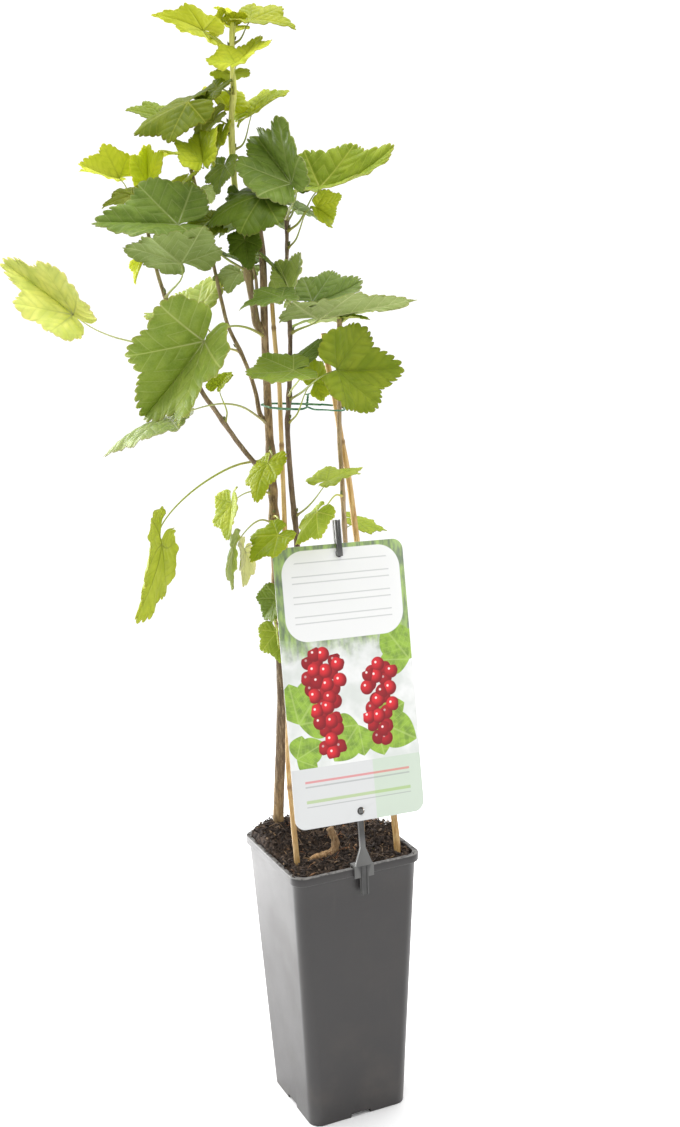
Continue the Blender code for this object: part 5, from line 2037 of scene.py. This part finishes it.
@dataclass
class Card:
    """The label: a thin, slightly bowed card with rounded corners and two punched holes."""

    thickness: float = 0.8 * MM
    corner: float = 9 * MM
    hole: float = 3.2 * MM
    inset: float = 8 * MM
    bow: float = 0.6 * MM

    CORNER_STEPS = 10
    HOLE_SIDES = 28
    EDGE = 0.18 * MM

    def place(self) -> tuple[Matrix, float, float]:
        """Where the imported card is.

        Returns:
            Its place, with X across, Y towards its back and Z up the card, and its two sides.
        """
        bm = welded_copy("label_card")
        places = np.array([vert.co for vert in bm.verts])
        bm.free()
        _, turned = np.linalg.eigh(np.cov(places.T))
        back, across, up = (Vector(turned[:, k]) for k in range(3))
        back = back if back.y > 0 else -back
        across = across if across.x > 0 else -across
        up = up if up.z > 0 else -up
        spans = [places @ np.array(axis) for axis in (across, back, up)]
        middle = sum(
            (axis * float(span.max() + span.min()) / 2
             for axis, span in zip((across, back, up), spans)),
            Vector(),
        )
        turn = Matrix((across, back, up)).transposed().to_4x4()
        width, height = (float(spans[k].max() - spans[k].min()) for k in (0, 2))
        return Matrix.Translation(middle) @ turn, width, height

    def build(self) -> None:
        """Build the label."""
        place, width, height = self.place()
        bm = bmesh.new()
        bmesh.ops.create_grid(bm, x_segments=8, y_segments=16, size=0.5)
        bmesh.ops.scale(bm, verts=bm.verts, vec=(width, height, 1))
        bmesh.ops.rotate(bm, verts=bm.verts, matrix=Matrix.Rotation(radians(90), 3, "X"))
        corners = [vert for vert in bm.verts if len(vert.link_faces) == 1]
        rounded(bm, corners, self.corner, self.CORNER_STEPS, affect="VERTICES")
        grown = bmesh.ops.extrude_face_region(bm, geom=bm.faces[:])["geom"]
        bmesh.ops.translate(bm, verts=moved(grown, BMVert), vec=(0, self.thickness, 0))
        bmesh.ops.translate(bm, verts=bm.verts, vec=(0, -self.thickness / 2, 0))
        bmesh.ops.recalc_face_normals(bm, faces=bm.faces)
        cutter = bmesh.new()
        for sign in (1, -1):
            spot = Matrix.Translation((0, 0, sign * (height / 2 - self.inset)))
            bmesh.ops.create_cone(cutter, cap_ends=True, segments=self.HOLE_SIDES,
                                  radius1=self.hole, radius2=self.hole, depth=9 * self.thickness,
                                  matrix=spot @ Matrix.Rotation(radians(90), 4, "X"))
        mesh = cut_away(bm, cutter)
        bm = bmesh.new()
        bm.from_mesh(mesh)
        crisp = [edge for edge in bm.edges if edge.calc_face_angle(0) > radians(60)]
        rounded(bm, crisp, self.EDGE)
        layer = bm.loops.layers.uv.new("print")
        for face in bm.faces:
            face.material_index = 0 if face.normal.y < -0.9 else 1
            for loop in face.loops:
                loop[layer].uv = (loop.vert.co.x / height, loop.vert.co.z / height)
        for vert in bm.verts:
            across = cos(pi * vert.co.x / width)
            vert.co.y -= self.bow * across * (1 - abs(2 * vert.co.z / height) ** 4)
        bmesh.ops.transform(bm, verts=bm.verts, matrix=place)
        finishes = [CardPrint().make(), CardBack().make()]
        Piece("currant_label", "card", ("label_card",)).set_down(bm, finishes, sharp=40)


@dataclass
class StakePlastic(Finish):
    """The stake's grey moulded plastic, with paler worn edges."""

    name: str = "stake_moulding"
    base: Colour = (0.042, 0.042, 0.041)
    worn: Colour = (0.15, 0.15, 0.145)

    def paint(self) -> None:
        """Set the surface of the material."""
        shader = self.shader
        place, wear = self.place, shader.attribute("wear")
        cloud, grain = shader.noise(place, 90, 3), shader.noise(place, 1800, 2)
        colour = shader.blend(shader.step(cloud, 0.4, 0.75) * 0.25, self.base, self.worn)
        colour = shader.blend(shader.step(wear, 0.4, 1.0) * 0.6, colour, self.worn)
        shader.finish(Base_Color=colour, Roughness=shader.step(cloud, 0.3, 0.7, 0.38, 0.5),
                      Normal=shader.bump(grain, 0.04 * MM))


@dataclass
class Stake:
    """The label's moulded stake, whose edges are rounded and whose shank and tongue are ribbed."""

    edge: float = 0.32 * MM
    rib: float = 0.45 * MM

    CRISP = radians(25)
    RIB_WIDTH = 1.5 * MM
    RIB_PLACE = 2.4 * MM
    FORK = 1.3 * MM
    FORK_FROM = 3 * MM
    TONGUE_FROM = 0.2065
    TONGUE_TO = 0.231

    def build(self) -> None:
        """Build the stake."""
        bm = welded_copy("label_stake")
        bmesh.ops.dissolve_limit(bm, angle_limit=FLAT_ANGLE, verts=bm.verts, edges=bm.edges)
        wear = bm.verts.layers.float.new("wear")
        crisp = [edge for edge in bm.edges if edge.calc_face_angle(0) > self.CRISP]
        for vert in rounded(bm, crisp, self.edge, clamp=True):
            vert[wear] = 1.0
        low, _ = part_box("label_stake")
        middle = self.clip_middle()
        size = (self.RIB_WIDTH * 0.8, self.rib * 2, self.TONGUE_TO - self.TONGUE_FROM)
        for side in (-1, 1):
            place = Vector((middle + side * self.RIB_PLACE, low.y - self.rib * 0.2,
                            (self.TONGUE_FROM + self.TONGUE_TO) / 2))
            self.add_rib(bm, place, size)
        cutter = bmesh.new()
        place, _, height = Card().place()
        tall = height / 2
        slot = Matrix.Translation((0, 0, height / 2 + self.FORK_FROM + tall / 2))
        bmesh.ops.create_cube(cutter, size=1,
                              matrix=place @ slot @ Matrix.Diagonal((self.FORK, tall, tall, 1)))
        mesh = cut_away(bm, cutter)
        Piece("label_stake_moulded", "stake_plastic", ("label_stake",)).set_down(
            mesh, [StakePlastic().make()], sharp=35
        )

    def clip_middle(self) -> float:
        """The middle of the clip that holds the rim, across the pot."""
        places = [vert.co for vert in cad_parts["label_stake"].data.vertices]
        clip = [place.x for place in places if place.z < POT_TOP]
        return (min(clip) + max(clip)) / 2

    def add_rib(self, bm: BMesh, place: Vector, size: tuple[float, float, float]) -> None:
        """Add a rib with rounded edges.

        Args:
            bm: where it is added.
            place: its middle.
            size: its sides.
        """
        rib = bmesh.ops.create_cube(
            bm, size=1, matrix=Matrix.Translation(place) @ Matrix.Diagonal((*size, 1))
        )["verts"]
        edges = list(dict.fromkeys(edge for vert in rib for edge in vert.link_edges))
        rounded(bm, edges, min(size) * 0.3)


class Studio:
    """The pale floor, the soft lights and the camera."""

    FLOOR_RADIUS = 0.95
    WORLD_LIGHT = 0.85
    WORLD_SEEN = 1.1
    CAMERA_YAW = radians(-24.67)
    CAMERA_PITCH = radians(12.66)
    CAMERA_ROLL = radians(-1.82)
    CAMERA_REACH = 1.2016
    CAMERA_AIM_ACROSS = 15.26 * MM
    CAMERA_AIM_HEIGHT = 468.8 * MM
    LIGHTS = (
        ("overhead", (0.1, 0.2, 2.1), (0, 0, 0.3), 1.9, 1.9, 40),
        ("back_left", (-0.75, 1.35, 0.62), (0, 0, 0.25), 1.3, 1.2, 34),
        ("floor_glow", (-0.36, 0.72, 0.3), (-0.33, 0.66, 0), 0.7, 0.5, 9),
        ("front_right", (1.5, -1.2, 1.2), (0, 0, 0.5), 0.9, 0.9, 7),
    )
    LENS = 47.85
    SENSOR = 36.0

    def build(self) -> None:
        """Set up the floor, the world, the lights and the camera."""
        self.floor()
        self.world()
        for light in self.LIGHTS:
            self.soft_light(*light)
        self.camera()
        bpy.context.scene.view_settings.view_transform = "Standard"

    def floor(self) -> None:
        """Lay the plain pale floor."""
        bm = bmesh.new()
        bmesh.ops.create_circle(bm, cap_ends=True, segments=96, radius=self.FLOOR_RADIUS)
        mesh = as_mesh(bm)
        shader = Shader("studio_white")
        faint = shader.noise(shader.place(), 3, 2)
        pale = shader.blend(faint, (0.93, 0.93, 0.93), (0.95, 0.95, 0.95))
        shader.finish(Base_Color=pale, Roughness=0.8, Specular_IOR_Level=0.2)
        mesh.materials.append(shader.material)
        floor = linked("studio_floor", mesh)
        floor.location.z = -0.05 * MM

    def world(self) -> None:
        """Fill the studio with an even pale light."""
        world = bpy.data.worlds.new("studio")
        world.use_nodes = True
        bpy.context.scene.world = world
        tree = world.node_tree
        seen = tree.nodes.new("ShaderNodeLightPath").outputs["Is Camera Ray"]
        strength = tree.nodes.new("ShaderNodeMapRange")
        strength.inputs["To Min"].default_value = self.WORLD_LIGHT
        strength.inputs["To Max"].default_value = self.WORLD_SEEN
        tree.links.new(seen, strength.inputs["Value"])
        background = tree.nodes["Background"]
        background.inputs["Color"].default_value = (1, 1, 1, 1)
        tree.links.new(strength.outputs[0], background.inputs["Strength"])

    def soft_light(
        self, name: str, place: Place, aim: Place, width: float, height: float, power: float
    ) -> None:
        """Hang a soft rectangular light.

        Args:
            name: its name.
            place: its middle.
            aim: what it points at.
            width: its width.
            height: its height.
            power: its power in watts.
        """
        light = bpy.data.lights.new(name, "AREA")
        light.shape, light.size, light.size_y, light.energy = "RECTANGLE", width, height, power
        lamp = linked(name, light)
        lamp.location = place
        lamp.rotation_euler = (Vector(aim) - Vector(place)).to_track_quat("-Z", "Y").to_euler()
        lamp.visible_camera = False

    def camera(self) -> None:
        """Place the camera."""
        yaw, pitch, roll = self.CAMERA_YAW, self.CAMERA_PITCH, self.CAMERA_ROLL
        back = Vector((sin(yaw) * cos(pitch), -cos(yaw) * cos(pitch), sin(pitch)))
        right = Vector((cos(yaw), sin(yaw), 0))
        up = back.cross(right)
        across = right * cos(roll) + up * sin(roll)
        upward = up * cos(roll) - right * sin(roll)
        aim = right * self.CAMERA_AIM_ACROSS + UP * self.CAMERA_AIM_HEIGHT
        lens = bpy.data.cameras.new("camera")
        lens.lens, lens.sensor_width = self.LENS, self.SENSOR
        lens.dof.use_dof = False
        camera = linked("camera", lens)
        turn = Matrix((across, upward, back)).transposed().to_4x4()
        camera.matrix_world = Matrix.Translation(aim + back * self.CAMERA_REACH) @ turn
        bpy.context.scene.camera = camera


UPPER = {
    Age.YOUNG: LeafSkin("young_leaf_upper", (0.5, 0.56, 0.085), (0.34, 0.43, 0.055),
                        (0.3, 0.37, 0.05), (0.56, 0.64, 0.07), (0.56, 0.54, 0.12),
                        0.45, 0.26, 0.44),
    Age.GROWN: LeafSkin("grown_leaf_upper", (0.25, 0.33, 0.06), (0.155, 0.232, 0.038),
                        (0.47, 0.53, 0.18), (0.42, 0.54, 0.05), (0.33, 0.33, 0.09),
                        0.7, 0.24, 0.4),
    Age.OLD: LeafSkin("old_leaf_upper", (0.2, 0.285, 0.052), (0.12, 0.185, 0.031),
                      (0.42, 0.49, 0.17), (0.4, 0.54, 0.06), (0.3, 0.32, 0.09),
                      0.65, 0.2, 0.38),
}
LOWER = {
    Age.YOUNG: LeafSkin("young_leaf_under", (0.52, 0.57, 0.19), (0.4, 0.46, 0.12),
                        (0.33, 0.39, 0.1), (0.52, 0.6, 0.11), (0.56, 0.54, 0.2),
                        0.65, 0.26, 0.62, -0.5),
    Age.GROWN: LeafSkin("grown_leaf_under", (0.33, 0.4, 0.16), (0.25, 0.32, 0.11),
                        (0.56, 0.61, 0.32), (0.4, 0.5, 0.07), (0.38, 0.37, 0.15),
                        0.85, 0.24, 0.62, -0.5),
    Age.OLD: LeafSkin("old_leaf_under", (0.3, 0.39, 0.16), (0.22, 0.3, 0.11),
                      (0.54, 0.61, 0.31), (0.4, 0.52, 0.07), (0.37, 0.37, 0.15),
                      0.85, 0.2, 0.62, -0.5),
}
TONES_AND_LIGHT = {
    ToneAndLight.LIME: ("top_left", "top_small", "tip_hanging", "tip_upright", "tip_small", "tip_back"),
    ToneAndLight.GOLD: ("outer_yellow", "inner_yellow", "low_round", "hanging_yellow", "inner_top"),
    ToneAndLight.SHARP: ("high_right", "round_left", "yellow_right", "middle_yellow", "low_over_stem",
                 "hanging", "tiny_left", "crown_back", "inner_front", "crown_glow"),
    ToneAndLight.OLIVE: ("top_right", "high_left", "olive_left", "left_branch_top", "crown_left",
                 "crown_filler"),
    ToneAndLight.MOSS: ("high_left_edge", "bright_right", "centre_dark", "crown_dark_front",
                "crown_curled", "crown_under"),
    ToneAndLight.DIM: ("underside_left", "middle_dark", "dark_behind", "behind_right", "crown_hidden",
               "low_far_right", "label_upper"),
    ToneAndLight.WARM: ("big_right", "top_folded", "label_lower", "right_top"),
    ToneAndLight.CLEAR: ("big_left", "underside_right", "low_pale", "low_edge", "inner_back",
                 "middle_left"),
    ToneAndLight.COOL: ("scalloped",),
    ToneAndLight.PALE: ("behind_left",),
    ToneAndLight.SILVER: ("left_behind", "long_tip"),
    ToneAndLight.MILKY: ("far_left", "edge_left", "low_behind"),
    ToneAndLight.BRIGHT: ("low_folded",),
}


def tone_and_light_of(leaf: str) -> Colour:
    """The tone of a leaf, with its painted light and shade, plain where none is named."""
    return next((tone for tone, names in TONES_AND_LIGHT.items() if leaf in names), ToneAndLight.PLAIN).value


@dataclass(frozen=True)
class Sprig:
    """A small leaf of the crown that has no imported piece, placed by the stem that bears it.

    Lengths are in millimetres and angles in degrees. Its bearing is measured from X, from above.
    """

    name: str
    stem: str
    share: float
    bearing: float
    reach: float
    rise: float
    length: float
    pitch: float
    roll: float = 0.0
    fold: float = 12.0
    age: Age = Age.YOUNG

    def leaf(self, wood: Wood, number: int) -> Leaf:
        """Place the leaf.

        Args:
            wood: the stem that bears it.
            number: the leaf's number.

        Returns:
            The leaf, with its sheet and stalk.
        """
        points, radii = wood.path.points, wood.path.radii
        at = self.share * (len(points) - 1)
        low = min(int(at), len(points) - 2)
        axis = points[low].lerp(points[low + 1], at - low)
        bearing = radians(self.bearing)
        out = Vector((cos(bearing), sin(bearing), 0))

        def sloped(angle: float) -> Vector:
            """The way out from the stem at an angle above level."""
            return out * cos(radians(angle)) + UP * sin(radians(angle))

        foot = axis + out * radii[low] * 0.6
        hub = foot + sloped(self.rise) * self.reach * MM
        toward = sloped(self.pitch)
        facing = sloped(self.pitch + 90)
        facing = Matrix.Rotation(radians(self.roll), 3, toward) @ facing
        bend = foot.lerp(hub, 0.5) + UP * self.reach * 0.12 * MM
        thick = (0.35 + 0.012 * self.length) * MM
        return Leaf(
            self.name, self.age, tone_and_light_of(self.name), number,
            BladeSheet.posed(hub, toward, facing, self.length * MM, radians(self.fold), 0.18),
            TubePath([foot, bend, hub.lerp(bend, 0.1)], [thick * 1.2, thick, thick * 0.9]),
            packed=False,
        )


SPRIGS = (
    Sprig("tip_hanging", "leader", 0.975, 158, 9, 35, 19, -48, 20),
    Sprig("tip_upright", "leader", 0.99, 130, 6, 60, 14, 40, 0, 30),
    Sprig("tip_small", "leader", 0.97, -70, 5, 55, 12, 35, -15, 30),
    Sprig("tip_back", "leader", 0.95, 60, 7, 45, 17, 5, 10, 20),
    Sprig("crown_back", "leader", 0.8, 75, 12, 35, 24, -5, 0, 15),
    Sprig("crown_glow", "leader", 0.66, -165, 8, 20, 25, -55, 12, 14),
    Sprig("crown_filler", "leader", 0.76, 178, 12, 25, 26, -35, -10, 14, Age.GROWN),
    Sprig("crown_left", "leader", 0.68, 165, 13, 20, 31, -38, 15, 12, Age.GROWN),
    Sprig("crown_front", "leader", 0.6, -150, 9, 10, 24, -52, 10, 12, Age.GROWN),
    Sprig("crown_dark_front", "leader", 0.54, -85, 9, 0, 25, -58, -15, 14, Age.OLD),
    Sprig("crown_dark_right", "leader", 0.5, 5, 12, 10, 29, -20, -20, 12, Age.OLD),
    Sprig("crown_dark_left", "leader", 0.45, 175, 14, 5, 32, -28, 25, 12, Age.OLD),
    Sprig("crown_curled", "leader", 0.4, -105, 8, 0, 22, -55, 20, 20, Age.OLD),
    Sprig("crown_under", "leader", 0.33, -35, 12, -5, 26, -40, -10, 12, Age.OLD),
    Sprig("crown_hidden", "leader", 0.28, 95, 12, 0, 28, -25, 0, 12, Age.GROWN),
    Sprig("second_top", "second_stem", 0.985, -45, 9, 30, 25, -15, -20, 14, Age.OLD),
    Sprig("left_branch_top", "left_branch", 0.97, 150, 9, 35, 24, -10, 15, 14, Age.GROWN),
    Sprig("inner_top", "inner_branch", 0.985, 110, 8, 50, 24, 15, 0, 16),
    Sprig("inner_front", "inner_branch", 0.93, -150, 8, 20, 20, -25, 10, 16),
    Sprig("inner_back", "inner_branch", 0.88, 50, 9, 20, 22, -15, 0, 14, Age.GROWN),
    Sprig("right_top", "right_stem", 0.99, -40, 7, 40, 18, 5, 0, 16, Age.GROWN),
    Sprig("twig_top", "thin_twig", 0.97, 160, 7, 30, 19, -20, 15, 14, Age.OLD),
)


BARKS = (
    BarkSkin(
        "trunk_bark",
        ((0.08, (0.52, 0.345, 0.15)), (0.19, (0.19, 0.13, 0.072)), (0.34, (0.19, 0.135, 0.078)),
         (0.5, (0.52, 0.36, 0.185)), (1.0, (0.32, 0.225, 0.13))),
        (0.075, 0.05, 0.03), (0.48, 0.37, 0.22), 0.75, 0.65,
    ),
    BarkSkin(
        "dark_bark",
        ((0.03, (0.3, 0.195, 0.095)), (0.2, (0.2, 0.145, 0.1)), (1.0, (0.23, 0.162, 0.112))),
        (0.08, 0.053, 0.037), (0.42, 0.32, 0.22),
    ),
    BarkSkin(
        "branch_bark",
        ((0.0, (0.26, 0.185, 0.12)), (0.6, (0.3, 0.22, 0.14)), (1.0, (0.48, 0.44, 0.16))),
        (0.105, 0.07, 0.042), (0.5, 0.4, 0.27),
    ),
    BarkSkin(
        "tan_bark", ((0.0, (0.4, 0.28, 0.16)), (1.0, (0.47, 0.34, 0.2))),
        (0.15, 0.095, 0.052), (0.6, 0.45, 0.27),
    ),
    BarkSkin(
        "young_bark_skin", ((0.0, (0.29, 0.205, 0.12)), (1.0, (0.4, 0.33, 0.14))),
        (0.095, 0.06, 0.038), (0.42, 0.33, 0.21),
    ),
    BarkSkin(
        "shoot_bark",
        ((0.15, (0.22, 0.15, 0.085)), (0.36, (0.4, 0.34, 0.11)), (0.48, (0.8, 0.8, 0.24)),
         (1.0, (0.85, 0.85, 0.25))),
        (0.26, 0.165, 0.07), (0.76, 0.74, 0.27), 0.35, 0.12, 0.6, 0.3 * MM,
    ),
    BarkSkin(
        "root_skin", ((0.0, (0.3, 0.195, 0.1)), (1.0, (0.44, 0.255, 0.11))),
        (0.095, 0.055, 0.028), (0.58, 0.44, 0.27),
    ),
)


class Bush:
    """The whole plant above the peat: its stems, canes, leaves and tie."""

    BARK = {"main_stem": ("bark", "trunk_bark"), "second_stem": ("bark", "dark_bark"),
            "left_branch": ("bark", "branch_bark"), "leader": ("green_shoot", "shoot_bark"),
            "inner_branch": ("young_bark", "young_bark_skin"),
            "thin_twig": ("young_bark", "young_bark_skin"),
            "right_stem": ("young_bark", "tan_bark")}
    CANES = ("front_cane", "right_cane")
    BORNE_ABOVE = POT_TOP + 40 * MM

    def __init__(self) -> None:
        """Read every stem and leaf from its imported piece."""
        self.woods = [Wood(node, slot) for node, (slot, _) in self.BARK.items()]
        self.canes = [Cane(node, "bamboo") for node in self.CANES]
        self.root = RootStub("root_stub", "dead_root")
        for wood in (*self.woods, *self.canes, self.root):
            wood.read()
        for wood in self.woods:
            foot = wood.path.points[0]
            if foot.z > self.BORNE_ABOVE:
                others = [other for other in self.woods if other is not wood]
                wood.join_to(min(others, key=lambda other: other.distance(foot)))
        names = [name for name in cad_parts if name.startswith("leaf_")]
        self.leaves = []
        for number, name in enumerate(sorted(names)):
            age = Age(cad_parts[name].data.materials[0].name)
            short = name.removeprefix("leaf_")
            leaf = Leaf(short, age, tone_and_light_of(short), number)
            leaf.read()
            self.leaves.append(leaf)
        woods = {wood.node: wood for wood in self.woods}
        for number, sprig in enumerate(SPRIGS, len(self.leaves)):
            self.leaves.append(sprig.leaf(woods[sprig.stem], number))

    def grow(self) -> None:
        """Build the stems, the canes, the root, the tie and the leaves."""
        bud = StalkSkin("bud_skin").make()
        made = {skin.name: skin.make() for skin in BARKS}
        feet: dict[str, list[Vector]] = {wood.node: [] for wood in self.woods}
        for leaf in self.leaves:
            foot = leaf.stalk.points[0]
            near = min(self.woods, key=lambda wood: wood.distance(foot))
            if near.distance(foot) < Wood.TAKES_LEAF:
                feet[near.node].append(foot)
        for wood in self.woods:
            wood.grow(feet[wood.node], [made[self.BARK[wood.node][1]], bud])
        cane_skin = CaneSkin().make()
        for cane in self.canes:
            cane.grow((), [cane_skin])
        self.root.grow((), [made["root_skin"]])
        Tie().build()
        stalk = StalkSkin().make()
        upper = {age: skin.make() for age, skin in UPPER.items()}
        lower = {age: skin.make() for age, skin in LOWER.items()}
        for leaf in self.leaves:
            leaf.grow([upper[leaf.age], lower[leaf.age], stalk])


def main() -> None:
    """Build the bush, its pot and its label, then the studio."""
    logging.basicConfig(level=logging.INFO, format="%(message)s")
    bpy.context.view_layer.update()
    Pot().build()
    log.info("pot")
    Soil().build()
    log.info("peat")
    Card().build()
    Stake().build()
    log.info("label and stake")
    Bush().grow()
    Studio().build()


if __name__ == "__main__":
    main()
